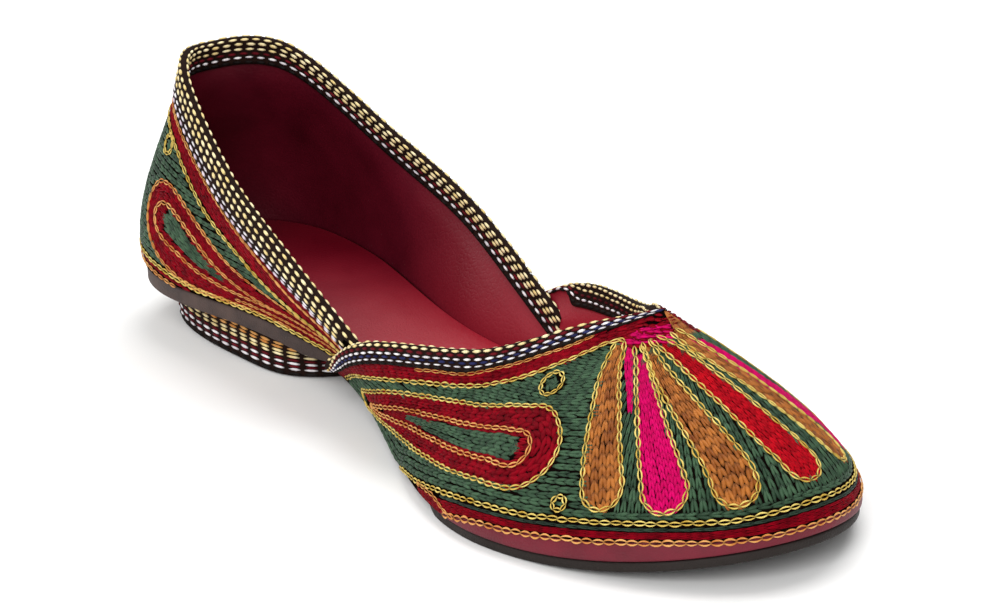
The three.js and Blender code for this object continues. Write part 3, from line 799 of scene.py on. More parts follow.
def thread_material(name, deep, light, rough, shine, shadow):
    made = blank(name)
    place = node(made, "TexCoord", out="Object")
    tint = node(made, "Attribute", None, "Fac", attribute_name="tint")
    dive = node(made, "Attribute", None, "Fac", attribute_name="dive")
    fuzz = node(made, "TexNoise", {"Vector": place, "Scale": 1 / (FUZZ * MM), "Detail": 3.0})
    sway = node(made, "Math", {0: tint, 1: 0.55, 2: fuzz}, operation="MULTIPLY_ADD")
    dyed = node(made, "MapRange", {"Value": sway, "From Min": 0.35, "From Max": 1.2})
    cloth = node(made, "Mix", {0: dyed, 6: colour(deep), 7: colour(light)}, 2, data_type="RGBA")
    # Painted shade: each stitch darkens towards its ends, where the thread dives into the cloth
    shade = node(made, "MapRange", {"Value": dive, "From Max": 0.7, "To Min": shadow})
    base = node(made, "Mix", {0: 1.0, 6: cloth, 7: shade}, 2, data_type="RGBA", blend_type="MULTIPLY")
    twist = node(made, "TexNoise", {"Vector": place, "Scale": 1 / (TWIST * MM), "Detail": 2.0})
    bump = node(made, "Bump", {"Height": twist, "Strength": 0.5, "Distance": TWIST_DEEP * MM})
    return surface(made, {
        "Base Color": base, "Normal": bump, "IOR": 1.47, "Roughness": rough, "Specular IOR Level": shine,
    })


# Roughness, shine and depth of the painted shade at the stitch ends, then the dark and the light of each dye
YARNS = [
    ("viscose_thread_", (0.5, 0.2, 0.42), {
        "green": ("#1b3121", "#436146"), "dark_green": ("#141f18", "#2c4233"),
        "brown": ("#6f360d", "#bd7330"), "yellow": ("#b9932f", "#ecd67a"), "orange": ("#bb6a26", "#eab068"),
    }),
    ("viscose_thread_", (0.6, 0.05, 0.7), {"crimson": ("#58000b", "#8c0016")}),
    ("viscose_thread_", (0.6, 0.06, 0.7), {"red": ("#8c0010", "#be061a"), "pink": ("#ae0049", "#d00264")}),
    ("cotton_braid_", (0.75, 0.1, 0.42), {
        "cream": ("#e0c47c", "#fbeec4"), "white": ("#cfc8ce", "#fdfbfc"), "lilac": ("#bfa9bb", "#efe2ea"),
        "navy": ("#101230", "#303463"), "dark_red": ("#420810", "#6e1520"), "black": ("#0b0909", "#221d1b"),
        "amber": ("#bd7430", "#eab06a"),
    }),
]
THREADS = {}
for yarn, finish, dyes in YARNS:
    for shade, dye in dyes.items():
        THREADS[shade] = thread_material(yarn + shade, *dye, *finish)
print("threads:", sorted(THREADS))

# %% [markdown]
# ### Drawing on the wall
# Three kinds of line make all the embroidery. A curve is drawn through a few places on the wall. A
# teardrop has a curved spine, a point or a narrow root at one end and a round end at the other. A filled
# band is a set of rows between two lines. Rows of the ground are left out where a motif covers them, which
# a point-in-outline test decides.

# %% Curves and teardrops
TIP_CROWDING = 1.6
BOTH_SIDES = (-1, 1)


def curve(places, side=1, count=160):
    """A smooth line through a few places, drawn on the left or mirrored to the right."""
    return spline(np.array(places) * [side, 1], np.linspace(0, 1, count))


def teardrop(wall, spine, root, widest, power, start=0.0, end=1.0, grow=0.0, count=90):
    """The two sides of a teardrop on part of a spine, from its root to its round end, in (v, t)."""
    run = lengths(wall.point(*spine.T))
    first, last = start * run[-1], end * run[-1] + grow
    s = 1 - (1 - np.linspace(0, 1, count)) ** TIP_CROWDING
    line = places_at(np.minimum(mix(first, last, s), run[-1]), run, spine)
    turn = 1 - (widest + grow) / (last - first)
    half = mix(root, widest, np.clip(s / turn, 0, 1) ** power) + grow
    half *= np.sqrt(1 - np.clip((s - turn) / (1 - turn), 0, 1) ** 2)
    ahead = unit(np.gradient(wall.point(*line.T), axis=0))
    aside = unit(np.cross(wall.out(*line.T), ahead))
    return wall.slide(line, aside, half), wall.slide(line, aside, -half)


def outline(sides):
    return np.concatenate([sides[0], sides[1][::-1]])


def covers(line, v, t):
    """True where a place lies inside a closed outline."""
    inside = np.zeros(np.shape(v), bool)
    for (v0, t0), (v1, t1) in zip(line, np.roll(line, -1, axis=0)):
        if t0 != t1:
            inside ^= ((t0 > t) != (t1 > t)) & (v < (v1 - v0) * (t - t0) / (t1 - t0) + v0)
    return inside


def uncovered(motifs, v, t):
    """True where no motif lies over a place."""
    return ~np.any([covers(motif, v, t) for motif in motifs], 0)


def ring(wall, v, t, radius, count=40):
    """A small circle round a place on the wall, radius in millimetres."""
    centre = np.repeat([[v, t]], count, 0)
    round_it = unit(wall.slopes(*centre.T)[0])
    up_it = unit(np.cross(wall.out(v, t), round_it))
    turn = np.linspace(0, 2 * np.pi, count)[:, None]
    return wall.slide(centre, unit(round_it * np.cos(turn) + up_it * np.sin(turn)), np.full(count, radius))


# %% Chains, bands and borders
OUTLINE_WIDE, OUTLINE_STEP, OUTLINE_HIGH, CHAIN_LIFT = 1.28, 2.7, 0.6, 0.28
# Length and height of a stitch
GROUND, CLOSE, BORDER, LOW_BORDER = (2.7, 0.5), (2.5, 0.5), (2.4, 0.45), (2.4, 0.4)
COARSE, FINE, SHORT = (2.8, 0.5), (2.0, 0.42), (2.2, 0.42)
ROW_WIDE, BAND_FILL, PLACES_ACROSS = 1.75, 1.3, 1400
across = np.linspace(-1, 1, PLACES_ACROSS)


def chain(thread, wall, line, keep=None, wide=OUTLINE_WIDE, step=OUTLINE_STEP):
    """An open chain, the outline of every shape; it lies on top of the filled rows."""
    sew(thread, OPEN, wall, line, (step, OUTLINE_HIGH), wide, keep, lift=CHAIN_LIFT)


def band(thread, wall, a, b, rows, stitch, keep=None):
    """Rows of close chain stitch that fill the space between two lines."""
    wide = np.linalg.norm(wall.point(*a.T) - wall.point(*b.T), axis=1) / rows
    for r in range(rows):
        sew(thread, FILL, wall, mix(a, b, (r + 0.5) / rows), stitch, wide, keep, BAND_FILL)


def low_line(wall, mm, v=across):
    """The line that lies mm above a wall's lower edge, all round it if v isn't given."""
    return np.stack([v, wall.up(v, mm)], -1)


def high_line(wall, mm, v=across):
    """The line that lies mm below a wall's topline."""
    return np.stack([v, wall.down(v, mm)], -1)


def top_band(wall, above, below, rows, stitch, keep):
    """A crimson band between two depths below a wall's topline."""
    band("crimson", wall, high_line(wall, above), high_line(wall, below), rows, stitch, keep)


def from_to(first, last):
    return lambda v, t: (abs(v) >= first) & (abs(v) <= last)


# %% [markdown]
# ### Vamp: borders
# Over the strip of bare leather come an orange chain, a crimson band, a thin dark green row and a yellow
# chain; towards the wings they draw together and run out over the edge. Under the braid of the topline
# lies another crimson band, closed by a yellow chain that climbs to the first petal. The sections slant to
# the topline near the throat, so the depths there are longer than the braid is wide.

# %% Lines of the vamp's borders
# By v on either side: heights above the lower edge and depths below the topline
LOW_YELLOW = [
    (0, 7.4), (0.1, 7.2), (0.22, 8.4), (0.34, 8.5), (0.4, 8.0), (0.49, 7.0), (0.53, 6.2), (0.57, 4.9),
    (0.62, 3.2), (0.67, 1.6), (0.74, 0.0),
]
TOP_CHAIN = [
    (0.54, 11.2), (0.56, 12.0), (0.58, 15.0), (0.6, 17.6), (0.62, 19.4), (0.68, 19.8), (0.72, 17.4),
    (0.775, 13.6), (0.8, 12.6), (0.875, 11.8), (1.0, 9.8),
]
THROAT_FILL = [(0, 7.0), (0.1, 7.4), (0.27, 10.0), (0.4, 11.6), (0.54, 12.4)]
EDGE_ORANGE = [(0.64, 2.3), (0.58, 2.9), (0.55, 1.9), (0.52, 1.0)]
# Length of the braid's outside leg down a section, by the place of the topline along the shoe
VAMP_LEGS = np.array([
    (100, 6.0), (130, 6.0), (151, 6.6), (167, 9.4), (177, 11.0), (184, 9.2), (191, 5.4), (198.8, 2.4),
])


def vamp_leg(x):
    i = np.clip(np.searchsorted(VAMP_LEGS[:, 0], x) - 1, 0, len(VAMP_LEGS) - 2)
    a, b = VAMP_LEGS[i], VAMP_LEGS[i + 1]
    return mix(a[..., 1], b[..., 1], ramp(x, a[..., 0], b[..., 0]))


yellow_up, orange_up = by_side(LOW_YELLOW, across), np.maximum(0, by_side(LOW_ORANGE, across))
chain_down = by_side(TOP_CHAIN, across)
leg_down = vamp_leg(vamp_point(across, 1)[:, 0])
for name, mm in (("yellow chain", yellow_up), ("braid", leg_down)):
    print(name, "at most", round(float(mm.max()), 1), "mm from the edge")

# %% Vamp borders
THROAT_FROM, YELLOW_END, ORANGE_END, GREEN_END, WING_END = 0.54, 0.735, 0.545, 0.56, 0.975
HEAVY_WIDE, EDGE_WIDE = OUTLINE_WIDE + 0.2, 1.0
GREEN_UNDER, GREEN_STITCH, GREEN_WIDE = 1.3, (2.7, 0.4), 0.9
# How far the crimson keeps off the chains beside it; the last of a pair is added where the chain is high
STRIP_OVER, STRIP_UNDER, STRIP_LEAST = 0.8, (1.0, 0.9), 0.2
ORANGE_FULL, YELLOW_FULL = 1.5, 6.0
TOP_OVER, TOP_UNDER, THROAT_STITCH = 0.6, 0.7, (2.0, 0.4)
CREST, CREST_RAYS, CREST_DOWN = (-0.06, 0.12), 6, (0.4, 8.5)
CREST_STITCH, CREST_WIDE, CREST_PLACES = (2.2, 0.4), (0.6, 1.5), 30
LEG_GAP, LEG_FROM, LEG_TO, LEG_WIDE = 0.5, 0.6, 0.82, 0.9


def in_throat(v, t):
    return (abs(v) < ORANGE_END) & ((v < CREST[0]) | (v > CREST[1]))


chain("yellow", VAMP, low_line(VAMP, yellow_up), from_to(0, YELLOW_END))
chain("orange", VAMP, low_line(VAMP, orange_up), from_to(0, ORANGE_END), HEAVY_WIDE)
for side in BOTH_SIDES:
    v, mm = curve(EDGE_ORANGE).T
    chain("orange", VAMP, low_line(VAMP, mm, side * v), None, EDGE_WIDE)
green_line = low_line(VAMP, yellow_up - GREEN_UNDER)
sew("dark_green", FILL, VAMP, green_line, GREEN_STITCH, GREEN_WIDE, from_to(0, GREEN_END))
strip_low = np.maximum(orange_up + STRIP_OVER * ramp(orange_up, 0, ORANGE_FULL), STRIP_LEAST)
strip_high = yellow_up - STRIP_UNDER[0] - STRIP_UNDER[1] * ramp(yellow_up, 0, YELLOW_FULL)
strip_high = np.maximum(strip_high, strip_low)
band("crimson", VAMP, low_line(VAMP, strip_low), low_line(VAMP, strip_high), 3, BORDER)
top_band(VAMP, leg_down - TOP_OVER, chain_down - TOP_UNDER, 4, BORDER, from_to(THROAT_FROM, 1))
top_band(VAMP, CREST_DOWN[0], by_side(THROAT_FILL, across), 6, THROAT_STITCH, in_throat)
depths, widths = (np.linspace(*ends, CREST_PLACES) for ends in (CREST_DOWN, CREST_WIDE))
for v in np.linspace(*CREST, CREST_RAYS):
    sew("brown", FILL, VAMP, high_line(VAMP, depths, np.full(CREST_PLACES, v)), CREST_STITCH, widths)
chain("yellow", VAMP, high_line(VAMP, chain_down), from_to(ORANGE_END, WING_END))
chain("orange", VAMP, high_line(VAMP, leg_down + LEG_GAP), from_to(LEG_FROM, LEG_TO), LEG_WIDE)
count_sewn("vamp borders")

# %% [markdown]
# ### Vamp: drops on the wings
# On each side lies a crimson drop with a green heart, its point drawn out to the edge of the wing. It is
# three teardrops, one in the other, on two spines that follow the wing. Two small rings fill the corners
# beside it.

# %% Drops on the wings
DROP_SPINE = [
    (0.91, 0.08), (0.80, 0.34), (0.69, 0.365), (0.59, 0.38), (0.505, 0.41), (0.455, 0.44), (0.41, 0.468),
]
HEART_SPINE = [
    (0.88, 0.11), (0.785, 0.335), (0.69, 0.36), (0.61, 0.37), (0.545, 0.385), (0.50, 0.40), (0.463, 0.425),
]
DROP = {"root": 2.1, "widest": 10.7, "power": 1.0}
HEART = {"root": 0.4, "widest": 4.6, "power": 1.05}
KERNEL = {"root": 0.5, "widest": 3.3, "power": 1.0, "start": 0.3, "end": 0.95}
DROP_MARGIN = -0.2
# Places and radii
WING_RINGS = [(0.563, 0.637, 3.2), (0.353, 0.26, 1.8)]
RING_WIDE, RING_STEP, RING_MARGIN = 1.3, 2.0, 0.1
RING_INSIDE, RING_FILL, RING_STITCH = 0.45, 0.7, (2.2, 0.5)
vamp_motifs = []


def small_ring(wall, v, t, radius):
    chain("yellow", wall, ring(wall, v, t, radius), None, RING_WIDE, RING_STEP)
    sew("green", FILL, wall, ring(wall, v, t, radius * RING_INSIDE), RING_STITCH, radius * RING_FILL)
    return ring(wall, v, t, radius + RING_MARGIN)


def wing_drop(side):
    """Crimson round a green kernel, with chains round the two outer drops; gives the ground's limit."""
    spine, heart_spine = curve(DROP_SPINE, side), curve(HEART_SPINE, side)
    big, small = teardrop(VAMP, spine, **DROP), teardrop(VAMP, heart_spine, **HEART)
    kernel = teardrop(VAMP, heart_spine, **KERNEL)
    green = outline(kernel)
    for a, b in zip(big, small):
        band("crimson", VAMP, a, b, 3, CLOSE)
    band("crimson", VAMP, *small, 6, CLOSE, lambda v, t: ~covers(green, v, t))
    band("green", VAMP, *kernel, 3, GROUND)
    for sides, thread in ((big, "yellow"), (small, "orange")):
        loop = outline(sides)
        chain(thread, VAMP, np.vstack([loop, loop[:1]]))
    return outline(teardrop(VAMP, spine, **DROP, grow=DROP_MARGIN))


for side in BOTH_SIDES:
    vamp_motifs.append(wing_drop(side))
    vamp_motifs.extend(small_ring(VAMP, side * v, t, radius) for v, t, radius in WING_RINGS)
count_sewn("wing drops")

# %% [markdown]
# ### Vamp: fan of petals
# Over the toe a fan of seven petals opens from the throat, with a pink knot at its root. The fan is laid
# out on a flat pattern of the toe, where the throat is the middle and the sections are the rays, so that a
# straight spine stays straight. Each petal is a teardrop filled with rows, coarse in tan and fine in pink
# and red.

# %% Spines of the petals
# Thread, widest half, how it widens, and the spine from the throat to the toe
PETALS = [
    ("brown", 5.0, 0.65, [
        (-0.545, 0.825), (-0.41, 0.71), (-0.345, 0.593), (-0.318, 0.49), (-0.298, 0.385), (-0.28, 0.25)]),
    ("pink", 5.3, 1.05, [
        (-0.373, 0.828), (-0.278, 0.748), (-0.228, 0.608), (-0.205, 0.465), (-0.193, 0.35), (-0.19, 0.23)]),
    ("brown", 5.2, 0.98, [
        (-0.335, 0.855), (-0.213, 0.763), (-0.155, 0.667), (-0.125, 0.575), (-0.105, 0.48), (-0.092, 0.37),
        (-0.092, 0.225)]),
    ("red", 5.0, 0.8, [
        (-0.278, 0.875), (-0.117, 0.823), (-0.062, 0.753), (-0.032, 0.68), (-0.002, 0.52), (0.01, 0.44),
        (0.027, 0.26)]),
    ("brown", 4.7, 0.75, [
        (-0.098, 0.915), (0.008, 0.84), (0.053, 0.758), (0.083, 0.672), (0.10, 0.58), (0.122, 0.41),
        (0.142, 0.255)]),
    ("pink", 6.2, 0.65, [
        (0.02, 0.885), (0.118, 0.785), (0.148, 0.69), (0.173, 0.58), (0.197, 0.49), (0.218, 0.38),
        (0.22, 0.24)]),
    ("brown", 4.8, 0.7, [(0.42, 0.81), (0.35, 0.71), (0.33, 0.58), (0.318, 0.42), (0.32, 0.25)]),
]
FIRST_PETAL, PLAIN_PETAL, LAST_PETAL = 0, 5, 6
WEDGE_SPINE = [(-0.278, 0.60), (-0.30, 0.67), (-0.342, 0.74), (-0.43, 0.815)]
FAN_REACH, FAN_PLACES = 0.8, 401
fan_v = np.linspace(-FAN_REACH, FAN_REACH, FAN_PLACES)
fan_place = VAMP_EDGE.at(1 - abs(fan_v))[0]
fan_angle = np.unwrap(np.arctan2(fan_place[:, 1] * np.sign(fan_v), fan_place[:, 0] - THROAT_ROWS[-1][0]))


def fan_curve(places):
    v, t = np.array(places).T
    angle = np.interp(v, fan_v, fan_angle)
    x, y = curve(np.stack([(1 - t) * np.cos(angle), (1 - t) * np.sin(angle)], -1)).T
    return np.stack([np.interp(np.arctan2(y, x), fan_angle, fan_v), 1 - np.hypot(x, y)], -1)


print(len(PETALS), "petals over", round(math.degrees(fan_angle[-1] - fan_angle[0])), "degrees of the toe")

# %% Fan of petals
PETAL_ROOT, BETWEEN_PETALS, BESIDE_FAN = 0.8, -0.3, 0.2
# Rows in a petal and their stitch
TAN_ROWS, FINE_ROWS = (5, COARSE), (7, FINE)
KNOT_LINE = np.array([(-0.54, -0.03), (-0.42, 0), (-0.30, 0.02), (-0.12, 0.03)])
KNOT_HEIGHTS, KNOT_STITCH, KNOT_PLACES = (0.835, 0.915), (2.0, 0.55), 40
WEDGE = {"root": 0.5, "widest": 1.3, "power": 0.8}
knot = [curve(KNOT_LINE + [0, t], 1, KNOT_PLACES) for t in KNOT_HEIGHTS]
band("pink", VAMP, *knot, 4, KNOT_STITCH)
wedge = teardrop(VAMP, fan_curve(WEDGE_SPINE), **WEDGE)
band("pink", VAMP, *wedge, 3, SHORT)
vamp_motifs.append(outline(wedge))
fan_edges = []
for i, (thread, widest, power, places) in enumerate(PETALS):
    spine = fan_curve(places)
    form = {"root": PETAL_ROOT, "widest": widest, "power": power}
    sides = teardrop(VAMP, spine, **form)
    band(thread, VAMP, *sides, *(TAN_ROWS if thread == "brown" else FINE_ROWS))
    if i != PLAIN_PETAL:
        chain("yellow", VAMP, outline(sides))
    margin = BESIDE_FAN if i in (FIRST_PETAL, LAST_PETAL) else BETWEEN_PETALS
    vamp_motifs.append(outline(teardrop(VAMP, spine, **form, grow=margin)))
    fan_edges.append(spine)
count_sewn("fan")

# %% [markdown]
# ### Vamp: green ground
# What the motifs leave free is filled in green. On the sides the rows run along the shoe, parallel to the
# lower edge; between the petals they run up to the throat.

# %% Green ground of the vamp
GROUND_TOP, ABOVE_CHAIN, GROUND_FILL, RAY_FILL = 0.5, 0.75, 1.05, 1.1
LOW_ROWS, ALL_ROWS = 1, 36
RAYS, RAY_PLACES, RAY_TOP, RAY_GAP, RAY_LEAST = 128, 60, 0.9, 0.4, 0.7


def open_ground(v, t):
    limit = np.where(abs(v) < THROAT_FROM, by_side(THROAT_FILL, v), by_side(TOP_CHAIN, v) + GROUND_TOP)
    return (t < VAMP.down(v, limit)) & uncovered(vamp_motifs, v, t)


def beside_fan(v, t):
    first, last = (np.interp(t, edge[::-1, 1], edge[::-1, 0]) for edge in (fan_edges[0], fan_edges[-1]))
    return (v < first) | (v > last)


for row in range(ALL_ROWS):
    mm = yellow_up + ABOVE_CHAIN * ramp(yellow_up, 0, 1) + ROW_WIDE * (row + 0.5)

    def in_ground(v, t):
        free = open_ground(v, t) & (np.interp(v, across, mm) < VAMP.tall(v))
        return free if row < LOW_ROWS else free & beside_fan(v, t)

    sew("green", FILL, VAMP, low_line(VAMP, mm), GROUND, ROW_WIDE, in_ground, GROUND_FILL)
step = (fan_angle[-1] - fan_angle[0]) / (RAYS - 1)
for angle in np.linspace(fan_angle[0], fan_angle[-1], RAYS):
    v = float(np.interp(angle, fan_angle, fan_v))
    low = VAMP.up(v, np.interp(v, across, yellow_up) + ABOVE_CHAIN + ROW_WIDE * LOW_ROWS + RAY_GAP)
    ray = np.stack([np.full(RAY_PLACES, v), np.linspace(RAY_TOP, float(low), RAY_PLACES)], -1)
    spots = VAMP.point(*ray.T)
    wide = np.hypot(spots[:, 0] - THROAT_ROWS[-1][0], spots[:, 1]) * step
    sew("green", FILL, VAMP, ray, GROUND, np.maximum(wide, RAY_LEAST),
        lambda v, t: open_ground(v, t) & ~beside_fan(v, t), RAY_FILL)
count_sewn("vamp ground")

# %% [markdown]
# ### Quarter: borders
# The quarter repeats the vamp's plan. Under the collar braid run an orange chain, a crimson band and a
# yellow chain, and along the sole a yellow chain over a crimson row. All these lines draw together at the
# waist.

# %% Quarter borders
COLLAR_OUTSIDE = 8.8
# By v on either side: depths below the topline and heights above the lower edge
COLLAR_CHAIN = [
    (0, 15.0), (0.3, 15.0), (0.42, 16.5), (0.55, 16.6), (0.62, 18.8), (0.7, 21.0), (0.85, 20.5),
]
COLLAR_ORANGE = [(0, 10.3), (0.3, 10.4), (0.58, 10.2), (0.66, 11.7), (0.72, 14.5), (0.85, 15.5)]
QUARTER_YELLOW = [
    (0, 4.6), (0.28, 4.4), (0.335, 3.1), (0.385, 2.0), (0.45, 1.4), (0.6, 1.2), (0.85, 1.6),
]
WING_COVERS, HEEL_CHAIN_END, HEEL_ROW_END, WAIST_BAND_FROM = 0.86, 0.36, 0.4, 0.6
# How far a line or a band keeps off the one beside it
HEEL_CHAIN_UNDER, HEEL_ROW_UNDER = 2.9, 1.5
BAND_OVER, BAND_UNDER, WAIST_OVER, WAIST_UNDER = 0.5, 0.8, 0.6, 0.4
HEEL_ROW_STITCH, HEEL_ROW_WIDE, COLLAR_WIDE = (2.7, 0.45), 1.3, 1.1
sole_up = by_side(QUARTER_YELLOW, across)
collar_chain, collar_orange = by_side(COLLAR_CHAIN, across), by_side(COLLAR_ORANGE, across)
behind_wing = from_to(0, WING_COVERS)
chain("yellow", QUARTER, low_line(QUARTER, sole_up), behind_wing, HEAVY_WIDE)
chain("orange", QUARTER, low_line(QUARTER, sole_up - HEEL_CHAIN_UNDER), from_to(0, HEEL_CHAIN_END))
heel_row = low_line(QUARTER, sole_up - HEEL_ROW_UNDER)
sew("crimson", FILL, QUARTER, heel_row, HEEL_ROW_STITCH, HEEL_ROW_WIDE, from_to(0, HEEL_ROW_END))
chain("orange", QUARTER, high_line(QUARTER, collar_orange), behind_wing, COLLAR_WIDE)
top_band(QUARTER, collar_orange + BAND_OVER, collar_chain - BAND_UNDER, 3, BORDER, behind_wing)
top_band(QUARTER, COLLAR_OUTSIDE - WAIST_OVER, collar_orange - WAIST_UNDER, 2, LOW_BORDER,
         from_to(WAIST_BAND_FROM, WING_COVERS))
chain("yellow", QUARTER, high_line(QUARTER, collar_chain), behind_wing)
count_sewn("quarter borders")

# %% [markdown]
# ### Quarter: drops
# On each side a drop has its round end at the back and its point at the waist. It bends too much for a
# teardrop, so its two outlines are drawn place by place, and the crimson between them is a band. At the
# middle of the back a crimson petal stands between two small rings.

# %% Outlines of the quarter's drops
# Matching places on the outer and inner outline, from the point over the top and round the back
BACK_OUTER = [
    (0.76, 0.24), (0.63, 0.28), (0.535, 0.335), (0.44, 0.455), (0.383, 0.505), (0.325, 0.53),
    (0.275, 0.485), (0.25, 0.38), (0.257, 0.28), (0.28, 0.19), (0.33, 0.105), (0.39, 0.055),
    (0.46, 0.045), (0.56, 0.05), (0.66, 0.07),
]
BACK_INNER = [
    (0.64, 0.165), (0.575, 0.175), (0.51, 0.23), (0.43, 0.345), (0.38, 0.405), (0.335, 0.43), (0.30, 0.415),
    (0.283, 0.345), (0.293, 0.285), (0.323, 0.245), (0.372, 0.215), (0.425, 0.17), (0.50, 0.14),
    (0.57, 0.145), (0.64, 0.165),
]
BACK_KERNEL = [(0.50, 0.19), (0.44, 0.245), (0.385, 0.30), (0.342, 0.345), (0.318, 0.355)]
WAIST_LINES = [
    [(0.60, 0.165), (0.67, 0.185), (0.73, 0.195), (0.86, 0.21)],
    [(0.52, 0.085), (0.60, 0.10), (0.70, 0.125), (0.86, 0.15)],
]
# Top of the crimson at the waist, by v
WAIST_TOP = np.array([(0.5, 0.375), (0.535, 0.335), (0.6, 0.25), (0.66, 0.235), (0.78, 0.25), (0.86, 0.3)])
WAIST_FROM, WAIST_LAP, WAIST_WIDE = 0.5, 0.035, 0.7
TIGHT_FROM, TIGHT_TO = 0.42, 0.62


def waist_high(v):
    return np.interp(abs(v), *WAIST_TOP.T)


def waist_wide(line):
    """Chains are drawn tighter towards the waist."""
    return mix(OUTLINE_WIDE, WAIST_WIDE, ramp(abs(line[:, 0]), TIGHT_FROM, TIGHT_TO))


print("drops of", len(BACK_OUTER), "places; waist from v", WAIST_FROM)

# %% Quarter drops
BACK_KERNEL_FORM = {"root": 0.4, "widest": 3.0, "power": 0.7}
BACK_PETAL = {"root": 1.2, "widest": 4.6, "power": 0.8}
BACK_SPINE, BACK_MARGIN = [(0.0, 0.28), (0.0, 0.45), (0.0, 0.6), (0.0, 0.72)], 0.2
BACK_RING_AT, BACK_RING_T, BACK_RING = 0.275, 0.67, 2.6
DROP_PLACES, DROP_CHAIN_END = 240, 0.74
WAIST_ROWS, WAIST_UP, WAIST_ROW, WAIST_STITCH, WAIST_STEP = 28, 1.0, 1.3, (2.5, 0.45), 2.2


def back_drop(side):
    """The drop on one side and the crimson of the waist; gives the drop's outline."""
    outer, inner = (curve(places, side, DROP_PLACES) for places in (BACK_OUTER, BACK_INNER))
    kernel = teardrop(QUARTER, curve(BACK_KERNEL, side), **BACK_KERNEL_FORM)
    green = outline(kernel)

    def in_crimson(v, t):
        at_waist = (v * side > WAIST_FROM - WAIST_LAP) & (v * side < WING_COVERS) & (t < waist_high(v))
        return np.where(covers(inner, v, t), ~covers(green, v, t), at_waist)

    for row in range(WAIST_ROWS):
        line = low_line(QUARTER, sole_up + WAIST_UP + WAIST_ROW * row)
        sew("crimson", FILL, QUARTER, line, WAIST_STITCH, WAIST_ROW, in_crimson, BAND_FILL)
    band("crimson", QUARTER, outer, inner, 4, CLOSE, from_to(0, WAIST_FROM))
    band("green", QUARTER, *kernel, 3, GROUND)
    chain("orange", QUARTER, outer, from_to(0, DROP_CHAIN_END), waist_wide(outer))
    chain("orange", QUARTER, inner, None, waist_wide(inner))
    for places in WAIST_LINES:
        line = curve(places, side)
        chain("orange", QUARTER, line, None, waist_wide(line), WAIST_STEP)
    return outer


quarter_motifs = []
for side in BOTH_SIDES:
    quarter_motifs.append(back_drop(side))
    quarter_motifs.append(small_ring(QUARTER, side * BACK_RING_AT, BACK_RING_T, BACK_RING))
spine = curve(BACK_SPINE)
sides = teardrop(QUARTER, spine, **BACK_PETAL)
band("crimson", QUARTER, *sides, 6, SHORT)
chain("yellow", QUARTER, outline(sides))
quarter_motifs.append(outline(teardrop(QUARTER, spine, **BACK_PETAL, grow=BACK_MARGIN)))
count_sewn("quarter drops")

# %% [markdown]
# ### Quarter: green ground
# The rest of the quarter is green too, in rows that lie along the sole like those on the sides of the
# vamp. Rows that followed the collar would look more lively, but would meet the drops at an angle.

# %% Green ground of the quarter
QUARTER_ROWS = 30


def quarter_ground(v, t):
    free = (abs(v) < WING_COVERS) & (t < QUARTER.down(v, by_side(COLLAR_CHAIN, v) + GROUND_TOP))
    free &= (abs(v) < WAIST_FROM) | (t > waist_high(v))
    return free & uncovered(quarter_motifs, v, t)


for row in range(QUARTER_ROWS):
    line = low_line(QUARTER, sole_up + ABOVE_CHAIN + ROW_WIDE * (row + 0.5))
    sew("green", FILL, QUARTER, line, GROUND, ROW_WIDE, quarter_ground, GROUND_FILL)
count_sewn("quarter ground")

# %% [markdown]
# ## Braid
# The braid is a woven tape about eighteen millimetres wide, folded over the edge of the leather. It is a
# sheet bent over the topline. A place on it is v along the edge and q across, 0 at the top of the fold,
# positive outside and negative inside. Round the throat's sharp point one tape would crumple, so two
# halves meet there.

# %% Folded tape
FOLD, FOLD_RISE, TAPE_LIFT = 3.0, 0.6, 0.7
TIP_LIFT, TIP_FROM, TIP_TO = 0.5, 184.0, 197.0
MOST_LEG, FOLD_BELOW, TAPE_STEP, TAPE_ACROSS = 0.9, 0.94, 0.004, 0.15


class Tape:
    """A tape folded over a wall's topline; outside and inside give its legs' lengths along the shoe."""

    def __init__(self, wall, outside, inside):
        self.wall, self.outside, self.inside = wall, outside, inside

    def along(self, v):
        return self.wall.point(v, 1)[..., 0]

    def lift(self, v):
        """How far the tape stands off the leather; at the tip of the throat it is pressed down to half as
        far.
        """
        return TAPE_LIFT * mix(1, TIP_LIFT, ramp(self.along(v), TIP_FROM, TIP_TO))

    def edges(self, v):
        return FOLD / 2 + self.outside(self.along(v)), -FOLD / 2 - self.inside(self.along(v))

    def spot(self, u, w, ends):
        """The place on the tape for a sheet's u and w."""
        v = mix(*ends, u)
        return v, mix(*self.edges(v), w)

    def point(self, v, q):
        v, q = matched(v, q)
        wall, lift, thin = self.wall, self.lift(v), wall_thick(0.0)
        down = np.maximum(abs(q) - FOLD / 2, 0)
        t = wall.down(v, np.minimum(down, wall.tall(v) * MOST_LEG))
        leg = wall.at(v, t, np.where(q > 0, lift, -wall_thick(down) - lift))
        lift = lift[..., None]
        u = np.where(v < 0, -1, 1) * np.maximum(abs(v), 1 - THROAT_SHARE) if wall.has_throat else v
        top = wall.point(u, 1)
        rise = unit(top - wall.point(u, FOLD_BELOW)) * FOLD_RISE * lift / TAPE_LIFT
        turn = np.clip(q / FOLD, -0.5, 0.5)[..., None] * np.pi
        over = wall.out(u, wall.NEAR_TOP) * (np.sin(turn) * (thin / 2 + lift) - thin / 2)
        place = np.where(abs(q)[..., None] > FOLD / 2, leg, top + over + rise * np.cos(turn))
        if wall.has_throat:
            y = place[..., 1]
            place[..., 1] = np.where(v < 0, np.minimum(y, 0), np.maximum(y, 0))
        return place

    def out(self, v, q):
        v, q = matched(v, q)
        along = self.point(np.minimum(v + TAPE_STEP, 1), q) - self.point(np.maximum(v - TAPE_STEP, -1), q)
        across_it = self.point(v, q + TAPE_ACROSS) - self.point(v, q - TAPE_ACROSS)
        return unit(np.cross(across_it, along)) * self.wall.facing


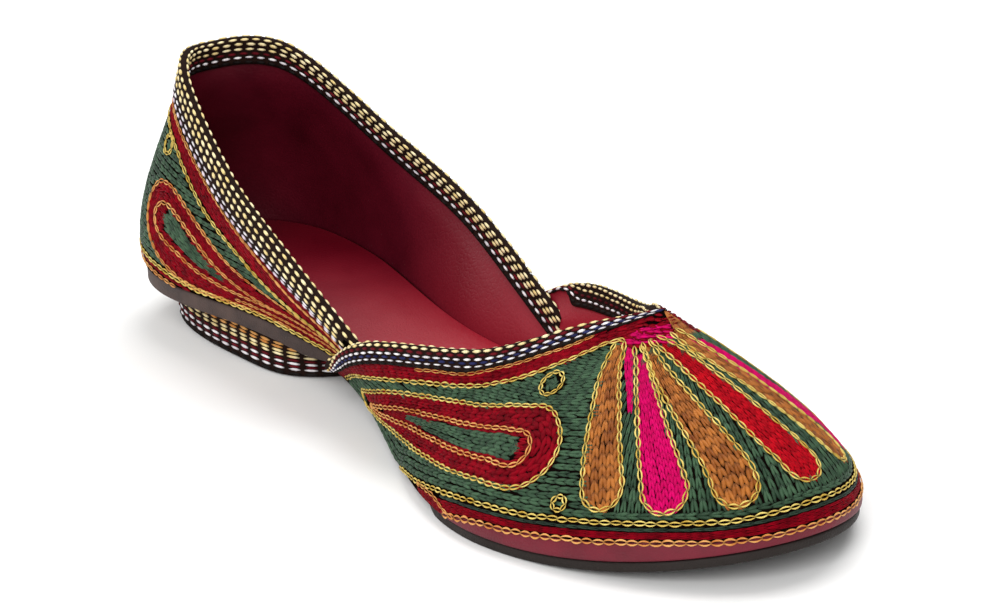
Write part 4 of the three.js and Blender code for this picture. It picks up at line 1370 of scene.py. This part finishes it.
# %% Cutting the tapes
TAPE_THICK, TAPE_ROWS, COLLAR_COLUMNS, VAMP_COLUMNS = 0.4, 22, 200, 130
COLLAR_LEG_ENDS, VAMP_LEG_STARTS = (107.0, 115.0), (120.0, 132.0)
LEAST_LEG, LEG_SHORT = 0.6, 0.5
COLLAR_INSIDE, VAMP_INSIDE_MORE = 6.5, 0.6
COLLAR_ENDS, THROAT_GAP = (-0.985, 0.985), 0.002
THROAT_V = 1 - THROAT_SHARE + THROAT_GAP
VAMP_ENDS = {"right": (-1, -THROAT_V), "left": (THROAT_V, 1)}
# Plain-woven black-brown cotton: matt, with ribs half a millimetre apart, drawn twice as coarse to show
TAPE_RIBS = 1.0
TAPE_CLOTH = blank("woven_cotton_tape")
place = node(TAPE_CLOTH, "TexCoord", out="Object")
ribs = node(TAPE_CLOTH, "TexNoise", {"Vector": place, "Scale": 1 / (TAPE_RIBS * MM), "Detail": 2.0})
base = node(TAPE_CLOTH, "Mix", {0: ribs, 6: colour("#0c0807"), 7: colour("#2a1812")}, 2, data_type="RGBA")
bump = node(TAPE_CLOTH, "Bump", {"Height": ribs, "Strength": 0.7, "Distance": 0.2 * MM})
surface(TAPE_CLOTH, {
    "Base Color": base, "Normal": bump, "IOR": 1.47, "Roughness": 0.85, "Specular IOR Level": 0.08,
})


def collar_outside(x):
    return np.maximum(LEAST_LEG, COLLAR_OUTSIDE * (1 - ramp(x, *COLLAR_LEG_ENDS)))


def vamp_inside(x):
    return np.maximum(LEAST_LEG, (vamp_leg(x) + VAMP_INSIDE_MORE) * ramp(x, *VAMP_LEG_STARTS))


def tape_piece(name, tape, ends, columns, replaced=None, rows=TAPE_ROWS, thick=TAPE_THICK):
    def over(measure):
        return lambda u, w: measure(*tape.spot(u, w, ends))

    bm = sheet(columns, rows, over(tape.point), over(tape.out))
    thicken(piece(name, bm, [TAPE_CLOTH], replaced), "cloth", thick)


COLLAR_TAPE = Tape(QUARTER, collar_outside, lambda x: COLLAR_INSIDE + 0 * x)
VAMP_TAPE = Tape(VAMP, lambda x: vamp_leg(x) - LEG_SHORT, vamp_inside)
tape_piece("collar_braid_tape", COLLAR_TAPE, COLLAR_ENDS, COLLAR_COLUMNS, "collar_binding")
tape_piece("vamp_braid_tape_right", VAMP_TAPE, VAMP_ENDS["right"], VAMP_COLUMNS, "vamp_binding")
tape_piece("vamp_braid_tape_left", VAMP_TAPE, VAMP_ENDS["left"], VAMP_COLUMNS)

# %% [markdown]
# ### Dashes of the braid
# On the dark ground float rows of short dashes in cream, white, navy and red. Each dash is one small
# stitch, and every second row is moved on by half a step, as in a basket weave. A pattern in the material
# could not stand up from the cloth or shrink towards the throat, as these do.

# %% Rows of dashes
# Share of the way from the top of the fold to the outer edge, or to the inner edge if below 0; then the
# thread, the width and 1 if the row is moved on
COLLAR_DASHES = [
    (0.92, "lilac", 0.85, 0), (0.755, "white", 0.5, 1), (0.545, "cream", 1.1, 0), (0.325, "cream", 1.15, 1),
    (0.1, "cream", 0.8, 0), (-0.12, "cream", 0.7, 1), (-0.3, "cream", 0.95, 0), (-0.48, "cream", 0.8, 1),
    (-0.63, "dark_red", 0.7, 0), (-0.77, "white", 0.7, 1), (-0.92, "black", 0.8, 0),
]
VAMP_DASHES = [
    (0.93, "black", 0.7, 0), (0.76, "white", 0.5, 0), (0.6, "navy", 0.75, 1), (0.44, "white", 0.66, 0),
    (0.27, "dark_red", 0.8, 1), (0.09, "cream", 0.75, 0), (-0.16, "cream", 0.7, 1), (-0.36, "cream", 0.7, 0),
    (-0.55, "dark_red", 0.7, 1), (-0.72, "white", 0.7, 0), (-0.9, "black", 0.8, 1),
]
DASH_STEP, DASH_SHARE, DASH_HIGH, DASH_MARGIN = 3.05, 0.7, 0.36, 0.2
CURL_FROM, CURL_SHARE, CURL_MOST = 0.94, 0.6, 0.7
TIP_WIDTH = 0.55
COLLAR_PLACES, VAMP_PLACES = 1600, 800


def dashes(tape, rows, v, curl):
    """Rows of dashes; curl draws the rows together at the ends of the tape."""
    outer, inner = tape.edges(v)
    reach = outer if tape.wall.has_throat else np.full_like(v, outer.max())
    pull = curl * CURL_MOST * ramp(abs(v), CURL_FROM, 1)
    narrow = mix(1, TIP_WIDTH, (1 - tape.lift(v) / TAPE_LIFT) / (1 - TIP_LIFT))
    for share, thread, wide, staggered in rows:
        q = reach * mix(share, CURL_SHARE, pull) if share > 0 else -inner * share
        start, end, middle, place = walk(tape, np.stack([v, q], -1), DASH_STEP)
        first = start + (end - start) * (0.5 * staggered)
        last = first + (end - start) * DASH_SHARE
        width = wide * np.interp(place, np.arange(len(v)), narrow)
        kept = middle[:, 1] < np.interp(middle[:, 0], v, outer) - DASH_MARGIN
        first, last, facing, width = (a[kept] for a in (first, last, tape.out(*middle.T), width))
        lay("tape_" + thread, DASH, first, last, facing, width, DASH_HIGH)


dashes(COLLAR_TAPE, COLLAR_DASHES, np.linspace(*COLLAR_ENDS, COLLAR_PLACES), 0)
for ends in VAMP_ENDS.values():
    dashes(VAMP_TAPE, VAMP_DASHES, np.linspace(*ends, VAMP_PLACES), 1)
count_sewn("braid")

# %% [markdown]
# ### Heel braid
# The heel is covered by the same kind of tape, glued on flat, with its dashes in columns: amber and cream
# at the top, then dark red and white in turn, and a black edge at the floor. A place on it is u round the
# heel and z up, so the sheet and the needle work on it as they do on a wall.

# %% Heel cover
HEEL_BACK, HEEL_WIDE, HEEL_WIDE_SHARE, HEEL_BREAST_HALF = 5.0, 20.4, 0.64, 9.0
HEEL_CURVE, HEEL_FRONT_CURVE = 2.8, 4.0
HEEL_FLARE, FLARE_IN, COVER_LIFT, COVER_THICK, TURN_STEP = 0.7, 0.35, 0.5, 0.8, 1.5
HEEL_PLACES, HEEL_COLUMNS, HEEL_SHEET_ROWS = 400, 160, 10
share = slow_ends(np.linspace(0, 1, HEEL_PLACES))
back = np.clip(1 - share / HEEL_WIDE_SHARE, 0, 1) ** HEEL_CURVE
front = np.clip((share - HEEL_WIDE_SHARE) / (1 - HEEL_WIDE_SHARE), 0, 1) ** HEEL_FRONT_CURVE
half = HEEL_WIDE * np.sqrt(1 - back) - (HEEL_WIDE - HEEL_BREAST_HALF) * front
heel_left = np.stack([mix(HEEL_BACK, HEEL_BREAST, share), half], -1)
heel_line = np.concatenate([heel_left[::-1] * [1, -1], heel_left[1:]])
heel_run = lengths(heel_line)


class HeelTape:
    """The tape round the heel: u along it in millimetres from the right breast, z above the floor."""

    def top(self, u):
        x = np.interp(u, heel_run, heel_line[:, 0])
        return edge_high(x) - 2 * FIT - sole_thick(x)

    def out(self, u, z):
        u, z = matched(u, z)
        before, after = (places_at(u + step, heel_run, heel_line) for step in (-TURN_STEP, TURN_STEP))
        ahead = unit(after - before)
        return np.stack([-ahead[..., 1], ahead[..., 0], 0 * u], -1)

    def point(self, u, z):
        u, z = matched(u, z)
        flare = HEEL_FLARE * (z - COVER_LIFT) / (self.top(u) - COVER_LIFT) - FLARE_IN
        place = np.concatenate([places_at(u, heel_run, heel_line), z[..., None]], -1)
        return place + self.out(u, z) * flare[..., None]

    def spot(self, u, w, ends):
        u = mix(*ends, u)
        return u, mix(COVER_LIFT, self.top(u), w)


HEEL_TAPE = HeelTape()
tape_piece("heel_braid_tape", HEEL_TAPE, (0, heel_run[-1]), HEEL_COLUMNS, "heel_cover", HEEL_SHEET_ROWS,
           COVER_THICK)

# %% Rows of dashes on the heel
# Share of the cover's height, and the thread
HEEL_ROWS = [
    (0.82, "amber"), (0.73, "amber"), (0.63, "cream"), (0.53, "cream"), (0.43, "dark_red"), (0.345, "white"),
    (0.26, "dark_red"), (0.18, "white"), (0.06, "black"),
]
HEEL_STEP, HEEL_DASH, HEEL_DASH_WIDE, HEEL_MARGIN, HEEL_WALK = 4.5, 0.75, 0.8, 0.5, 900
u = np.linspace(HEEL_MARGIN, heel_run[-1] - HEEL_MARGIN, HEEL_WALK)
for share, thread in HEEL_ROWS:
    line = np.stack([u, mix(COVER_LIFT, HEEL_TAPE.top(u), share)], -1)
    start, end, middle, place = walk(HEEL_TAPE, line, HEEL_STEP)
    end = start + (end - start) * HEEL_DASH
    lay("heel_" + thread, DASH, start, end, HEEL_TAPE.out(*middle.T), HEEL_DASH_WIDE, DASH_HIGH)
count_sewn("heel braid")

# %% [markdown]
# ### One mesh for each thread
# Everything that was sewn is now joined: embroidery, braid and heel apart, and each by its thread.

# %% Join the stitches
BRAIDS = {"tape": ("braid_dashes_", "binding_braid"), "heel": ("heel_dashes_", "heel_braid")}
for thread in sorted(SEWN):
    kind, _, shade = thread.partition("_")
    if kind in BRAIDS:
        title, slot = BRAIDS[kind]
        gather(thread, title + shade, THREADS[shade])
    else:
        gather(thread, "stitches_" + thread, THREADS[thread])

# %% [markdown]
# ## Floor and light
# A pale floor and big soft lamps, as in a product photograph: one above and behind for the shine on the
# insole, one in front for the embroidery, a weaker one towards the heel, and an even light all round.

# %% Floor
# Matt white paper: nearly even, with faint clouds of fibre
FLOOR_RADIUS, FLOOR_SIDES, FIBRE = 6.0, 64, 30.0
PAPER = blank("matt_white_paper")
place = node(PAPER, "TexCoord", out="Object")
fibre = node(PAPER, "TexNoise", {"Vector": place, "Scale": 1 / (FIBRE * MM), "Detail": 3.0})
base = node(PAPER, "Mix", {0: fibre, 6: colour("#f8f8f7"), 7: colour("#fdfdfc")}, 2, data_type="RGBA")
surface(PAPER, {"Base Color": base, "Roughness": 0.9})
bm = bmesh.new()
bmesh.ops.create_circle(bm, cap_ends=True, segments=FLOOR_SIDES, radius=FLOOR_RADIUS)
mesh = bpy.data.meshes.new("floor")
bm.to_mesh(mesh)
bm.free()
mesh.materials.append(PAPER)
floor = add("floor", mesh)
print("floor of", 2 * FLOOR_RADIUS, "m")

# %% Lamps
LAMPS = [
    {"name": "top_lamp", "at": (-0.2, 0.5, 1.3), "size": 1.2, "watts": 14},
    {"name": "front_lamp", "at": (0.9, -1.0, 0.9), "size": 1.0, "watts": 16},
    {"name": "side_lamp", "at": (-1.1, -0.7, 0.8), "size": 0.9, "watts": 6},
]
LAMP_AIM = Vector((0, 0, 0.03))
SKY = {"Color": (1.0, 1.0, 1.0, 1.0), "Strength": 0.45}
for lamp in LAMPS:
    light = bpy.data.lights.new(lamp["name"], "AREA")
    light.shape, light.size, light.energy = "DISK", lamp["size"], lamp["watts"]
    made = add(lamp["name"], light)
    made.location = lamp["at"]
    made.rotation_euler = (LAMP_AIM - made.location).to_track_quat("-Z", "Y").to_euler()
world = bpy.data.worlds.new("studio")
world.use_nodes = True
for socket, value in SKY.items():
    world.node_tree.nodes["Background"].inputs[socket].default_value = value
bpy.context.scene.world = world
bpy.context.scene.view_settings.view_transform = "Standard"
print("lamps:", [lamp["name"] for lamp in LAMPS])
